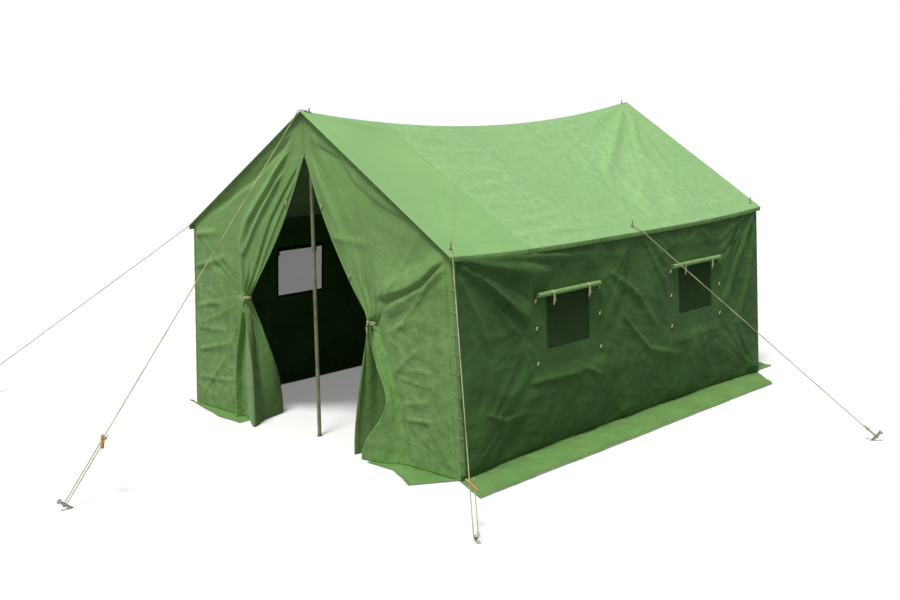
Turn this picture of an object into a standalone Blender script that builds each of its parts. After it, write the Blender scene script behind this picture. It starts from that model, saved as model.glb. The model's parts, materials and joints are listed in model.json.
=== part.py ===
"""Field tent: a ridge tent on eight poles with guy ropes.

The canvas roof hangs in a hollow curve between two ridge poles. The front gable
is split into two door leaves that are gathered and tied back, and each side wall
has two screened windows with rolled-up flaps. Wooden runners tighten the ropes.

Units are metres and +Z is up. The front gable faces -Y. The origin lies on the
ground under the middle of the tent.
"""
import math

import bmesh
import bpy
import numpy as np
from mathutils import Matrix, Vector

# Tent body
WIDTH = 3.00                # between the side walls, at the eaves
LENGTH = 4.20               # between the gables
EAVE_HEIGHT = 1.60
RIDGE_HEIGHT = 2.55
RIDGE_SAG = 0.170           # how far the ridge hangs down between its poles
EAVE_SAG = 0.045
SLOPE_SAG = 0.020           # hollow of each roof slope at mid length
EAVE_OVERHANG = 0.030
LIP_DROP = 0.035            # turned-down edge of the roof
WALL_SPLAY = 0.090          # how far a side wall's foot stands out from its top
FOOT_BOW = 0.070            # how far a side wall's foot is drawn in between the corners
FOOT_BOW_HEIGHT = 0.550     # the wall is straight above this
CLOTH = 0.0020
GAP = 0.0004                # between pieces that touch
DRAPE_GAP = 0.0005          # more room where a flat piece lies on the curved roof

# Folds of the cloth
ROOF_FOLD_DEPTH = 0.008
ROOF_FOLDS = 6              # folds in each fan that spreads from a ridge pole
WALL_FOLD_DEPTH = 0.014
WALL_FOLD_LENGTH = 0.66
GABLE_FOLD_DEPTH = 0.030
GABLE_FOLDS = 7             # folds that spread from a door tie

# Mud flaps on the ground
FLAP_REACH = 0.330
FLAP_TUCK = 0.020           # how far a flap runs in under its wall
FLAP_REAR_REACH = 0.305
FLAP_FRONT_REACH = 0.150
FLAP_TIP_X = 1.366          # the pointed corner in front of the right door leaf
FLAP_TIP_REACH = 0.305
FLAP_CORNER_REACH = 0.120
FLAP_SLANT_OUT = 0.170
FLAP_SLANT_IN = 0.340
FLAP_LIFT = 0.0005

# Doors
SLIT_TOP = 2.23             # height where the two leaves part
TIE_LEFT = (-0.794, 1.040)  # x and z of the left tie-back
TIE_RIGHT = (0.709, 1.025)
TIE_HALF_WIDTH = 0.044
TIE_HALF_DEPTH = 0.036
TIE_TAPE_HEIGHT = 0.016
TIE_TAPE_THICK = 0.0015
LEAF_FOOT_CLEAR = 0.006
LEAF_LEFT_FOOT = ((-1.010, -2.100), (-0.930, -2.150), (-0.860, -2.060), (-0.770, -2.175), (-0.700, -2.080),
                  (-0.600, -2.235), (-0.590, -2.060), (-0.650, -1.930), (-0.768, -1.795))
LEAF_RIGHT_FOOT = ((1.050, -2.100), (0.930, -2.190), (0.780, -2.246), (0.735, -2.170), (0.850, -2.070),
                   (0.800, -1.980), (0.690, -2.040), (0.620, -2.110), (0.570, -2.188))

# Windows
WINDOW_WIDTH = 0.520
WINDOW_HEIGHT = 0.430
WINDOWS_RIGHT = (-0.823, 0.998)     # y of each window's middle
WINDOWS_LEFT = (-0.930, 0.998)
SILL_RIGHT = 0.765
SILL_LEFT = 0.840
SCREEN_OVERLAP = 0.020
SCREEN_THICK = 0.0010
ROLL_LENGTH = 0.770
ROLL_TURNS = 2.75
ROLL_SHEET = 0.0030
ROLL_SPACE = 0.0015
ROLL_CORE = 0.0060
ROLL_ABOVE_SILL = 0.425
FLAP_SHEET_HEIGHT = 0.028
FLAP_SHEET_THICK = 0.0015
FLAP_SHEET_BEHIND = 0.010   # how far the strip runs down behind its roll's middle
ROLL_TIE_SPACING = 0.440
ROLL_TIE_WIDTH = 0.018
ROLL_TIE_THICK = 0.0015
ROLL_TIE_BITE = 0.0010      # how far a tie sinks into the soft roll
ROLL_TIE_TAIL = 0.085
ROLL_TRAVEL = 0.480         # how far a roll is let down
CALM_MARGIN = 0.040         # flat cloth beyond the ends of a roll's path

# Poles
RIDGE_POLE_RADIUS = 0.0150
SIDE_POLE_RADIUS = 0.0125
TUBE_WALL = 0.0015
SLIP = 0.0003               # round a spigot inside its tube
RIDGE_POLE_INSET = 0.060    # from the gable to the pole's axis
SIDE_POLE_INSET = 0.035
CORNER_POLE_INSET = 0.050
MID_POLE_Y = 0.120
JOINT_HEIGHT = 1.250
SPIGOT_LENGTH = 0.110
FOOT_FLANGE = 0.007
FOOT_THICK = 0.006
SHOULDER_THICK = 0.006
SPIKE_RADIUS = 0.0050
SIDE_SPIKE_ABOVE_ROOF = 0.055
RIDGE_SPIKE_ABOVE_ROOF = 0.032
EYELET_CLEAR = 0.0004
EYELET_WALL = 0.0016
EYELET_FLANGE = 0.0130
EYELET_THICK = 0.0012

# Guy ropes
ROPE_DIAMETER = 0.0070
ROPE_EYE_RADIUS = 0.0150
ROPE_CLEAR = 0.0008
EDGE_CLEAR = 0.012          # past the roof's edge, where a rope turns down
PEG_FRONT = (0.000, -4.230)
PEG_FRONT_RIGHT = (2.390, -2.840)
PEG_FRONT_LEFT = (-3.500, -3.300)
PEG_MID_RIGHT = (3.344, 0.700)
PEG_RADIUS = 0.0110
PEG_LENGTH = 0.110
PEG_HEAD_RADIUS = 0.0190
PEG_HEAD_THICK = 0.009
BIGHT_HEIGHT = 0.036        # of the rope's turn round the peg
RUNNER_FRONT_FROM_PEG = 0.470
RUNNER_RIGHT_FROM_PEG = 0.317
RUNNER_LEFT_FROM_PEG = 0.330
RUNNER_LENGTH = 0.115
RUNNER_WIDTH = 0.028
RUNNER_THICK = 0.012
RUNNER_TILT = math.radians(48)
RUNNER_HOLE_CLEAR = 0.0006
KNOT_RADIUS = 0.0095
KNOT_LENGTH = 0.016
ROPE_TAIL = 0.018

# Fineness of the facets
ROOF_CELLS_LENGTH = 26
ROOF_CELLS_SLOPE = 9
WALL_CELLS_HEIGHT = 7
WALL_CELL_LENGTH = 0.190
GABLE_CELLS = 12
GABLE_ROWS = 12
LEAF_CELLS = 16
LEAF_ROWS = 8
FLAP_SEAM_POINTS = 9
POLE_SIDES = 12
SMALL_SIDES = 10

HALF_WIDTH = WIDTH / 2
HALF_LENGTH = LENGTH / 2
PITCH = math.atan2(RIDGE_HEIGHT - EAVE_HEIGHT, HALF_WIDTH)
ROOF_DEPTH = CLOTH / math.cos(PITCH)    # the roof cloth's thickness, measured plumb
ROLL_STAND_OFF = GAP + FLAP_SHEET_THICK + GAP + ROLL_TIE_THICK     # the strip and a tie lie behind a roll


def material(name, colour, roughness, metallic=0.0):
    """A Principled material."""
    made = bpy.data.materials.new(name)
    made.use_nodes = True
    shader = made.node_tree.nodes["Principled BSDF"]
    shader.inputs["Base Color"].default_value = (*colour, 1.0)
    shader.inputs["Roughness"].default_value = roughness
    shader.inputs["Metallic"].default_value = metallic
    made.diffuse_color = (*colour, 1.0)
    return made


CANVAS_SUNLIT = ((0.30, 0.51, 0.19), 0.85)
CANVAS_WALL = ((0.10, 0.23, 0.07), 0.85)
SCREEN_DARK = ((0.02, 0.03, 0.02), 0.70)
TAPE_GREEN = ((0.40, 0.50, 0.26), 0.80)
PAINTED_POLE = ((0.16, 0.20, 0.08), 0.45)
ZINC_STEEL = ((0.55, 0.56, 0.55), 0.35, 1.0)
BRASS = ((0.62, 0.48, 0.22), 0.35, 1.0)
ROPE_CREAM = ((0.42, 0.44, 0.26), 0.90)
RUNNER_WOOD = ((0.55, 0.33, 0.10), 0.60)


def add_object(name, mesh, look):
    """Put a mesh into the scene as one named piece with its own material."""
    made = bpy.data.objects.new(name, mesh)
    mesh.materials.append(material(name + "_finish", *look))
    bpy.context.collection.objects.link(made)
    return made


def add_bmesh(name, shape, look):
    """Finish a bmesh as a named piece, smooth where it is round."""
    mesh = bpy.data.meshes.new(name)
    bmesh.ops.recalc_face_normals(shape, faces=shape.faces[:])
    shape.to_mesh(mesh)
    shape.free()
    mesh.shade_smooth()
    mesh.set_sharp_from_angle(angle=math.radians(35))
    return add_object(name, mesh, look)


def add_cloth(name, points, outward, look, holes=None):
    """A sheet over a grid of points, thickened away from its outward side; holes masks the cells left out."""
    rows, columns = points.shape[:2]
    index = np.arange(rows * columns).reshape(rows, columns)
    cells = np.stack([index[:-1, :-1], index[:-1, 1:], index[1:, 1:], index[1:, :-1]], axis=-1)
    kept = np.ones(cells.shape[:2], bool) if holes is None else ~holes
    across = points[1:, 1:] - points[:-1, :-1]
    along = points[1:, :-1] - points[:-1, 1:]
    facing = np.cross(across, along)[kept].sum(axis=0) @ np.asarray(outward, float)
    cells = cells[kept].reshape(-1, 4)
    if facing < 0:
        cells = cells[:, ::-1]
    mesh = bpy.data.meshes.new(name)
    mesh.from_pydata(points.reshape(-1, 3).tolist(), [], cells.tolist())
    shape = bmesh.new()
    shape.from_mesh(mesh)
    bmesh.ops.delete(shape, geom=[v for v in shape.verts if not v.link_faces], context="VERTS")
    shape.to_mesh(mesh)
    shape.free()
    mesh.shade_smooth()
    made = add_object(name, mesh, look)
    thicken = made.modifiers.new("cloth thickness", "SOLIDIFY")
    thicken.thickness = CLOTH
    thicken.offset = -1.0
    return made


def turn(shape, profile, sides, place=Matrix(), closed=False):
    """Spin a profile of (radius, height) pairs about the vertical, set it at place and add it to shape."""
    made = bmesh.new()
    verts = [made.verts.new((radius, 0.0, height)) for radius, height in profile]
    edges = [made.edges.new(pair) for pair in zip(verts, verts[1:])]
    if closed:
        edges.append(made.edges.new((verts[-1], verts[0])))
    bmesh.ops.spin(made, geom=verts + edges, cent=(0, 0, 0), axis=(0, 0, 1), angle=math.tau, steps=sides,
                   use_merge=True)
    bmesh.ops.remove_doubles(made, verts=made.verts[:], dist=1e-6)
    bmesh.ops.transform(made, matrix=place, verts=made.verts[:])
    append(shape, made)


def append(shape, extra):
    """Move the faces of one bmesh into another."""
    passed = bpy.data.meshes.new("passed")
    extra.to_mesh(passed)
    extra.free()
    shape.from_mesh(passed)
    bpy.data.meshes.remove(passed)


def block(shape, corners):
    """Add a closed block to shape from its eight corners, four below and four above in the same order."""
    low, high = [[shape.verts.new(corner) for corner in half] for half in (corners[:4], corners[4:])]
    shape.faces.new(low)
    shape.faces.new(high)
    for i in range(4):
        j = (i + 1) % 4
        shape.faces.new((low[i], low[j], high[j], high[i]))


def cutter(name, shape):
    """A closed tool for a Boolean, left out of the model."""
    mesh = bpy.data.meshes.new(name)
    bmesh.ops.recalc_face_normals(shape, faces=shape.faces[:])
    shape.to_mesh(mesh)
    shape.free()
    made = bpy.data.objects.new(name, mesh)
    made.hide_render = True
    made.display_type = "WIRE"
    bpy.context.collection.objects.link(made)
    return made


def combine(target, tool, operation):
    """A Boolean of the target and a tool."""
    made = target.modifiers.new(operation.lower(), "BOOLEAN")
    made.operation = operation
    made.solver = "EXACT"
    made.object = tool


def cut(target, tool):
    """Take the tool's shape out of the target."""
    combine(target, tool, "DIFFERENCE")


def join(target, tool):
    """Sew the tool's shape onto the target."""
    combine(target, tool, "UNION")


def smooth_curve(points, count):
    """Count points evenly placed by number along a smooth curve through the given ones (Catmull-Rom)."""
    knots = np.asarray(points, float)
    ends = np.vstack([2 * knots[0] - knots[1], knots, 2 * knots[-1] - knots[-2]])
    at = np.linspace(0, len(knots) - 1, count)
    first = np.minimum(at.astype(int), len(knots) - 2)
    t = (at - first)[:, None]
    a, b, c, d = (ends[first + step] for step in range(4))
    return 0.5 * (2 * b + (c - a) * t + (2 * a - 5 * b + 4 * c - d) * t ** 2 + (3 * b - a - 3 * c + d) * t ** 3)


def toward(direction, side=None):
    """A rotation whose +Z runs along direction, and whose +Y follows side where it is given."""
    z = Vector(direction).normalized()
    y = Vector(side) if side is not None else (Vector((1, 0, 0)) if abs(z.x) < 0.9 else Vector((0, 1, 0)))
    x = y.cross(z).normalized()
    y = z.cross(x)
    return Matrix((x, y, z)).transposed().to_4x4()


def roof_height(x, y):
    """Height of the roof's upper face: straight across each slope at the gables, hollow between them."""
    x, y = np.asarray(x, float), np.asarray(y, float)
    along = np.clip(np.abs(y) / HALF_LENGTH, 0, 1)
    ridge = RIDGE_HEIGHT - RIDGE_SAG * (1 - along ** 2)
    eave = EAVE_HEIGHT - EAVE_SAG * (1 - along ** 3)
    across = np.abs(x) / HALF_WIDTH
    inside = np.clip(across, 0, 1)
    return ridge + (eave - ridge) * across - 4 * SLOPE_SAG * inside * (1 - inside) * (1 - along ** 2)


def roof_folds(x, y):
    """Shallow folds in a fan from the foot of each ridge pole's eyelet, flat along the roof's edges."""
    along = np.clip(np.abs(y) / HALF_LENGTH, 0, 1)
    across = np.clip(np.abs(x) / HALF_WIDTH, 0, 1)
    angle = np.arctan2(across * HALF_WIDTH, HALF_LENGTH * (1 - along) + 1e-6)
    calm = np.sin(np.pi * across) ** 2 * np.sin(np.pi * along) ** 2
    return ROOF_FOLD_DEPTH * calm * np.cos(4 * ROOF_FOLDS * angle)


def wall_x(z):
    """Distance of a side wall's outer face from the tent's middle."""
    return HALF_WIDTH + WALL_SPLAY * (1 - np.asarray(z, float) / EAVE_HEIGHT)


def foot_bow(y, z):
    """How far a side wall is drawn in near the ground, most of all midway between its corners."""
    along = np.clip(np.abs(y) / (HALF_LENGTH - FLAP_TUCK), 0, 1)
    low = np.clip(1 - np.asarray(z, float) / FOOT_BOW_HEIGHT, 0, 1)
    return FOOT_BOW * (1 - along ** 4) * low ** 1.5


def graded(breaks, longest):
    """Grid lines through all the breaks, with cells no longer than longest."""
    lines = []
    for low, high in zip(breaks, breaks[1:]):
        lines.extend(np.linspace(low, high, max(1, math.ceil((high - low) / longest)), endpoint=False))
    return np.array(lines + [breaks[-1]])


def make_roof():
    """Both slopes as one sheet with a turned-down lip along each eave."""
    slope = np.linspace(0, HALF_WIDTH, ROOF_CELLS_SLOPE)
    half = np.concatenate([slope, [HALF_WIDTH + EAVE_OVERHANG] * 2])
    drop = np.concatenate([np.zeros(ROOF_CELLS_SLOPE + 1), [LIP_DROP]])
    x = np.concatenate([-half[:0:-1], half])
    lip = np.concatenate([drop[:0:-1], drop])
    y = np.linspace(-HALF_LENGTH, HALF_LENGTH, ROOF_CELLS_LENGTH - 1)
    y = np.concatenate([[-HALF_LENGTH - EAVE_OVERHANG], y, [HALF_LENGTH + EAVE_OVERHANG]])
    grid_x, grid_y = np.meshgrid(x, y)
    z = roof_height(grid_x, grid_y) + roof_folds(grid_x, grid_y) - lip[None, :]
    roof = add_cloth("roof", np.stack([grid_x, grid_y, z], axis=-1), (0, 0, 1), CANVAS_SUNLIT)
    roof.modifiers["cloth thickness"].use_even_offset = True
    tool = bmesh.new()
    hole = SPIKE_RADIUS + EYELET_CLEAR + EYELET_WALL + EYELET_CLEAR
    for x_pole, y_pole, _ in pole_places():
        z_roof = float(roof_height(x_pole, y_pole))
        turn(tool, [(0, -0.03), (hole, -0.03), (hole, 0.03), (0, 0.03)], SMALL_SIDES,
             Matrix.Translation((x_pole, y_pole, z_roof)))
    cut(roof, cutter("roof_hole_tool", tool))


def window_places():
    """Each window: name, which side it is on, y of its middle and height of its sill."""
    return (("right_front", 1, WINDOWS_RIGHT[0], SILL_RIGHT), ("right_rear", 1, WINDOWS_RIGHT[1], SILL_RIGHT),
            ("left_front", -1, WINDOWS_LEFT[0], SILL_LEFT), ("left_rear", -1, WINDOWS_LEFT[1], SILL_LEFT))


def make_side_wall(side):
    """A side wall with two window holes; the cloth hangs in soft folds away from its windows."""
    windows = [place for place in window_places() if place[1] == side]
    tuck = HALF_LENGTH - FLAP_TUCK
    breaks = [-HALF_LENGTH, -tuck]
    for _, _, middle, sill in windows:
        breaks += [middle - WINDOW_WIDTH / 2, middle + WINDOW_WIDTH / 2]
    y = graded(breaks + [tuck, HALF_LENGTH], WALL_CELL_LENGTH)
    sill = windows[0][3]
    foot = CLOTH + FLAP_LIFT + GAP
    levels = graded([foot, sill, sill + WINDOW_HEIGHT, EAVE_HEIGHT], EAVE_HEIGHT / WALL_CELLS_HEIGHT)
    grid_y, level = np.meshgrid(y, levels)
    top = EAVE_HEIGHT
    for _ in range(3):
        top = roof_height(wall_x(top), grid_y) - ROOF_DEPTH - GAP
    above = sill + WINDOW_HEIGHT
    z = np.where(level > above, above + (level - above) * (top - above) / (EAVE_HEIGHT - above), level)
    calm = np.sin(np.pi * (grid_y + HALF_LENGTH) / LENGTH) ** 0.5
    for _, _, middle, _ in windows:
        near = np.clip((np.abs(grid_y - middle) - ROLL_LENGTH / 2 - CALM_MARGIN) / WALL_CELL_LENGTH, 0, 1)
        lowest = sill + ROLL_ABOVE_SILL - ROLL_TRAVEL - ROLL_TIE_TAIL - roll_radius() - CALM_MARGIN
        low = np.clip((lowest - z) / WALL_CELL_LENGTH, 0, 1)
        calm = calm * np.maximum(near, low)
    fold = WALL_FOLD_DEPTH * calm * np.clip(1 - z / top, 0, 1) ** 0.7
    fold = fold * np.sin(math.tau * grid_y / WALL_FOLD_LENGTH) * np.clip((z - foot) / WALL_CELL_LENGTH, 0, 1)
    x = side * (wall_x(z) - foot_bow(grid_y, z) + fold)
    mid_y, mid_z = (y[1:] + y[:-1]) / 2, (levels[1:] + levels[:-1]) / 2
    holes = np.zeros((len(mid_z), len(mid_y)), bool)
    for _, _, middle, _ in windows:
        inside_y = np.abs(mid_y - middle) < WINDOW_WIDTH / 2
        inside_z = (mid_z > sill) & (mid_z < above)
        holes |= inside_z[:, None] & inside_y[None, :]
    name = "wall_right" if side > 0 else "wall_left"
    add_cloth(name, np.stack([x, grid_y, z], axis=-1), (side, 0, 0), CANVAS_WALL, holes)


def gable_edge(z):
    """How far a gable reaches at a height: to the roof's underside, or to the side wall's inner face."""
    z = np.asarray(z, float)
    under_roof = HALF_WIDTH * (RIDGE_HEIGHT - z - ROOF_DEPTH - 2 * GAP) / (RIDGE_HEIGHT - EAVE_HEIGHT)
    return np.minimum(under_roof, wall_x(z) - CLOTH - GAP)


def gable_levels(foot):
    """Rows of a gable from the ground to just under the peak, with one at the eave."""
    peak = RIDGE_HEIGHT - ROOF_DEPTH - 2 * GAP - 0.012
    eave = EAVE_HEIGHT - ROOF_DEPTH - 2 * GAP
    return graded([foot, eave, peak], (peak - foot) / GABLE_ROWS)


def make_rear_wall():
    """The closed rear gable, with folds that fall from the peak."""
    z = gable_levels(CLOTH + FLAP_LIFT + GAP)
    across = np.linspace(-1, 1, GABLE_CELLS + 1)
    grid_u, grid_z = np.meshgrid(across, z)
    x = grid_u * gable_edge(grid_z)
    calm = (1 - grid_u ** 2) * np.sin(np.pi * np.clip(grid_z / RIDGE_HEIGHT, 0, 1))
    fold = GABLE_FOLD_DEPTH / 2 * calm * np.cos(math.tau * 2.5 * grid_u)
    y = HALF_LENGTH - CLOTH + np.minimum(fold, 0) + GABLE_FOLD_DEPTH / 4 * calm
    add_cloth("wall_rear", np.stack([x, y, grid_z], axis=-1), (0, 1, 0), CANVAS_WALL)


def door_sides():
    """Each door leaf: name, side, its tie's x and z, and the line its foot follows on the ground."""
    return (("left", -1, TIE_LEFT, LEAF_LEFT_FOOT), ("right", 1, TIE_RIGHT, LEAF_RIGHT_FOOT))


def leaf_levels(tie):
    """Heights of a gathered leaf's rows from its tie down to its foot, and how far each row has opened."""
    down = np.linspace(0, 1, LEAF_ROWS + 1) ** 1.3
    below_tie = tie[1] - TIE_TAPE_HEIGHT
    return below_tie + (LEAF_FOOT_CLEAR - below_tie) * down, np.sin(down * np.pi / 2)


def make_front_wall(name, side, tie, foot_line):
    """The fixed part of one half of the front gable: from the roof and corner to the leaf's parting line."""
    tie_x, tie_z = abs(tie[0]), tie[1]
    eave = EAVE_HEIGHT - ROOF_DEPTH - 2 * GAP
    peak = RIDGE_HEIGHT - ROOF_DEPTH - 2 * GAP - 0.012
    low, opened = leaf_levels(tie)
    above = graded([tie_z + TIE_TAPE_HEIGHT, eave, SLIT_TOP, peak], peak / GABLE_ROWS)
    z = np.concatenate([[CLOTH + GAP], low[-2::-1], above])
    waist = tie_x + TIE_HALF_WIDTH + TIE_TAPE_THICK + GAP / 2
    gathered = abs(waist_line(tie, side, len(foot_line))[0][0])
    beside = gathered + (abs(foot_line[0][0]) - gathered) * opened[::-1] + CLOTH
    parted = np.interp(above, [tie_z + TIE_TAPE_HEIGHT, SLIT_TOP, peak], [waist, 2 * GAP, 2 * GAP])
    inner = np.concatenate([np.maximum(beside, waist), parted])
    bottom = z[0]
    across = np.linspace(0, 1, GABLE_CELLS // 2 + 3)
    grid_u, grid_z = np.meshgrid(across, z)
    outer = gable_edge(grid_z)
    x = outer + (inner[:, None] - outer) * grid_u
    reach = np.hypot(x - tie_x, grid_z - tie_z)
    angle = np.arctan2(grid_z - tie_z, x - tie_x)
    calm = np.clip(reach / 0.5, 0, 1) * np.sin(np.pi * np.clip(1 - grid_u, 0, 1) ** 0.8) ** 2
    calm = calm * np.clip((grid_z - bottom) / 0.2, 0, 1)
    fold = GABLE_FOLD_DEPTH * calm * (0.5 + 0.5 * np.cos(GABLE_FOLDS * angle))
    y = -HALF_LENGTH + CLOTH - fold
    add_cloth("front_wall_" + name, np.stack([side * x, y, grid_z], axis=-1), (0, -1, 0), CANVAS_SUNLIT)


def waist_line(tie, side, count):
    """The gathered cloth inside its tie: pleats whose tips touch an ellipse, from the outer side inwards."""
    step = np.linspace(1, -1, count)
    half_width = TIE_HALF_WIDTH - CLOTH / 2 - 2 * GAP
    half_depth = TIE_HALF_DEPTH - CLOTH / 2 - 2 * GAP
    x = tie[0] + side * half_width * step * 0.97
    way = np.where(np.arange(count) % 2 == 0, 1, -1)
    y = -HALF_LENGTH + way * half_depth * np.sqrt(1 - (0.97 * step) ** 2) * 0.94
    return np.stack([x, y], axis=-1)


def make_door_leaf(name, side, tie, foot_line):
    """The skirt of a tied-back leaf: pleats that open from the tie down to the line of its foot."""
    waist = smooth_curve(waist_line(tie, side, len(foot_line)), LEAF_CELLS + 1)
    foot = smooth_curve(foot_line, LEAF_CELLS + 1)
    low, opened = leaf_levels(tie)
    plan = waist[None] + (foot - waist)[None] * np.concatenate([[0], opened])[:, None, None]
    z = np.concatenate([[tie[1] + TIE_TAPE_HEIGHT], low])[:, None] * np.ones(LEAF_CELLS + 1)
    points = np.concatenate([plan, z[..., None]], axis=-1)
    made = add_cloth("door_leaf_" + name, points, (0, -1, 0), CANVAS_SUNLIT)
    made.modifiers["cloth thickness"].offset = 0.0


def make_door_tie(name, side, tie, foot_line):
    """The tape round a gathered leaf."""
    shape = bmesh.new()
    low, high = tie[1] - TIE_TAPE_HEIGHT / 2, tie[1] + TIE_TAPE_HEIGHT / 2
    sides = 24
    rings = []
    for grow, z in ((0, low), (TIE_TAPE_THICK, low), (TIE_TAPE_THICK, high), (0, high)):
        angles = [math.tau * i / sides for i in range(sides)]
        rings.append([shape.verts.new((tie[0] + (TIE_HALF_WIDTH + grow) * math.cos(a),
                                       -HALF_LENGTH + (TIE_HALF_DEPTH + grow) * math.sin(a), z)) for a in angles])
    for ring, after in zip(rings, rings[1:] + rings[:1]):
        for i in range(sides):
            j = (i + 1) % sides
            shape.faces.new((ring[i], ring[j], after[j], after[i]))
    add_bmesh("door_tie_" + name, shape, TAPE_GREEN)


def make_flap(name, outline):
    """A strip of cloth that lies flat on the ground, from its outline seen from above."""
    shape = bmesh.new()
    low = [shape.verts.new((x, y, 0.0)) for x, y in outline]
    high = [shape.verts.new((x, y, CLOTH)) for x, y in outline]
    shape.faces.new(low)
    shape.faces.new(high)
    for i, j in zip(range(len(low)), list(range(1, len(low))) + [0]):
        shape.faces.new((low[i], low[j], high[j], high[i]))
    add_bmesh("mud_flap_" + name, shape, CANVAS_SUNLIT)


def make_mud_flaps():
    """Strips sewn to the foot of each wall, spread flat on the ground and slit at the corners."""
    foot = float(wall_x(0))
    tuck = HALF_LENGTH - FLAP_TUCK
    seam_y = np.linspace(tuck, -tuck, FLAP_SEAM_POINTS)
    seam_x = foot - FLAP_TUCK - foot_bow(seam_y, 0)
    for name, side, slant in (("right", 1, -FLAP_SLANT_OUT), ("left", -1, FLAP_SLANT_IN)):
        make_flap(name, [(side * (foot - FLAP_TUCK), -HALF_LENGTH),
                         (side * (foot + FLAP_REACH), slant - HALF_LENGTH),
                         (side * (foot + FLAP_REACH), HALF_LENGTH - FLAP_SLANT_IN),
                         (side * (foot - FLAP_TUCK), HALF_LENGTH)]
                  + [(side * x, y) for x, y in zip(seam_x, seam_y)])
    inner = foot - FLAP_TUCK - GAP
    make_flap("rear", [(-inner, tuck), (inner, tuck), (inner, HALF_LENGTH + FLAP_REAR_REACH),
                       (-inner, HALF_LENGTH + FLAP_REAR_REACH)])
    reach = -HALF_LENGTH - FLAP_FRONT_REACH
    start_right, start_left = LEAF_RIGHT_FOOT[2][0], LEAF_LEFT_FOOT[3][0]
    make_flap("front_right", [(start_right, -tuck), (inner, -tuck), (inner, -HALF_LENGTH),
                              (FLAP_TIP_X, -HALF_LENGTH - FLAP_TIP_REACH), (FLAP_TIP_X - FLAP_TIP_REACH, reach),
                              (start_right, reach)])
    make_flap("front_left", [(start_left, -tuck), (start_left, reach), (-FLAP_TIP_X + FLAP_TIP_REACH, reach),
                             (-inner - FLAP_CORNER_REACH, -HALF_LENGTH - GAP), (-inner, -HALF_LENGTH - GAP),
                             (-inner, -tuck)])


def on_wall(side, y, z, off):
    """A point at a distance off a side wall's outer face, measured square to it."""
    lean = math.atan2(WALL_SPLAY, EAVE_HEIGHT)
    return (side * (float(wall_x(z)) + off * math.cos(lean)), y, z + off * math.sin(lean))


def wall_slab(shape, side, y_range, z_range, off, thick):
    """Add a flat slab that lies along a side wall, off its outer face and thick through."""
    corners = []
    for distance in (off, off + thick):
        for y, z in ((y_range[0], z_range[0]), (y_range[1], z_range[0]),
                     (y_range[1], z_range[1]), (y_range[0], z_range[1])):
            corners.append(on_wall(side, y, z, distance))
    block(shape, corners)


def roll_radius():
    """Outer radius of a rolled flap: a core and its turns of cloth."""
    return ROLL_CORE + ROLL_TURNS * (ROLL_SHEET + ROLL_SPACE) + ROLL_SHEET


def spiral_outline(start, steps=30):
    """Section of a rolled sheet, as (outward, up) points: its outer face, then back along its inner face."""
    angle = np.linspace(0, math.tau * ROLL_TURNS, steps)
    inner = ROLL_CORE + (ROLL_SHEET + ROLL_SPACE) * angle / math.tau
    way = np.stack([np.cos(angle + start), np.sin(angle + start)], axis=1)
    return np.concatenate([way * (inner + ROLL_SHEET)[:, None], (way * inner[:, None])[::-1]])


def tie_band(centre, side, middle):
    """A tape round a roll, with an end that hangs down at the front."""
    low, high = roll_radius() - ROLL_TIE_BITE, roll_radius() + ROLL_TIE_THICK
    width = ROLL_TIE_WIDTH / 2
    band = bmesh.new()
    rings = []
    for step in range(POLE_SIDES):
        angle = math.tau * step / POLE_SIDES
        rings.append([band.verts.new((centre.x + side * radius * math.cos(angle), middle + y,
                                      centre.z + radius * math.sin(angle)))
                      for radius, y in ((low, -width), (high, -width), (high, width), (low, width))])
    for ring, after in zip(rings, rings[1:] + rings[:1]):
        for i in range(4):
            j = (i + 1) % 4
            band.faces.new((ring[i], ring[j], after[j], after[i]))
    tail = bmesh.new()
    lean = side * ROLL_TIE_TAIL * WALL_SPLAY / EAVE_HEIGHT
    near, far = centre.x + side * low, centre.x + side * high
    end = centre.z - ROLL_TIE_TAIL
    block(tail, [(near + lean, middle - width, end), (near + lean, middle + width, end),
                 (far + lean, middle + width, end), (far + lean, middle - width, end),
                 (near, middle - width, centre.z), (near, middle + width, centre.z),
                 (far, middle + width, centre.z), (far, middle - width, centre.z)])
    return band, tail


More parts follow.
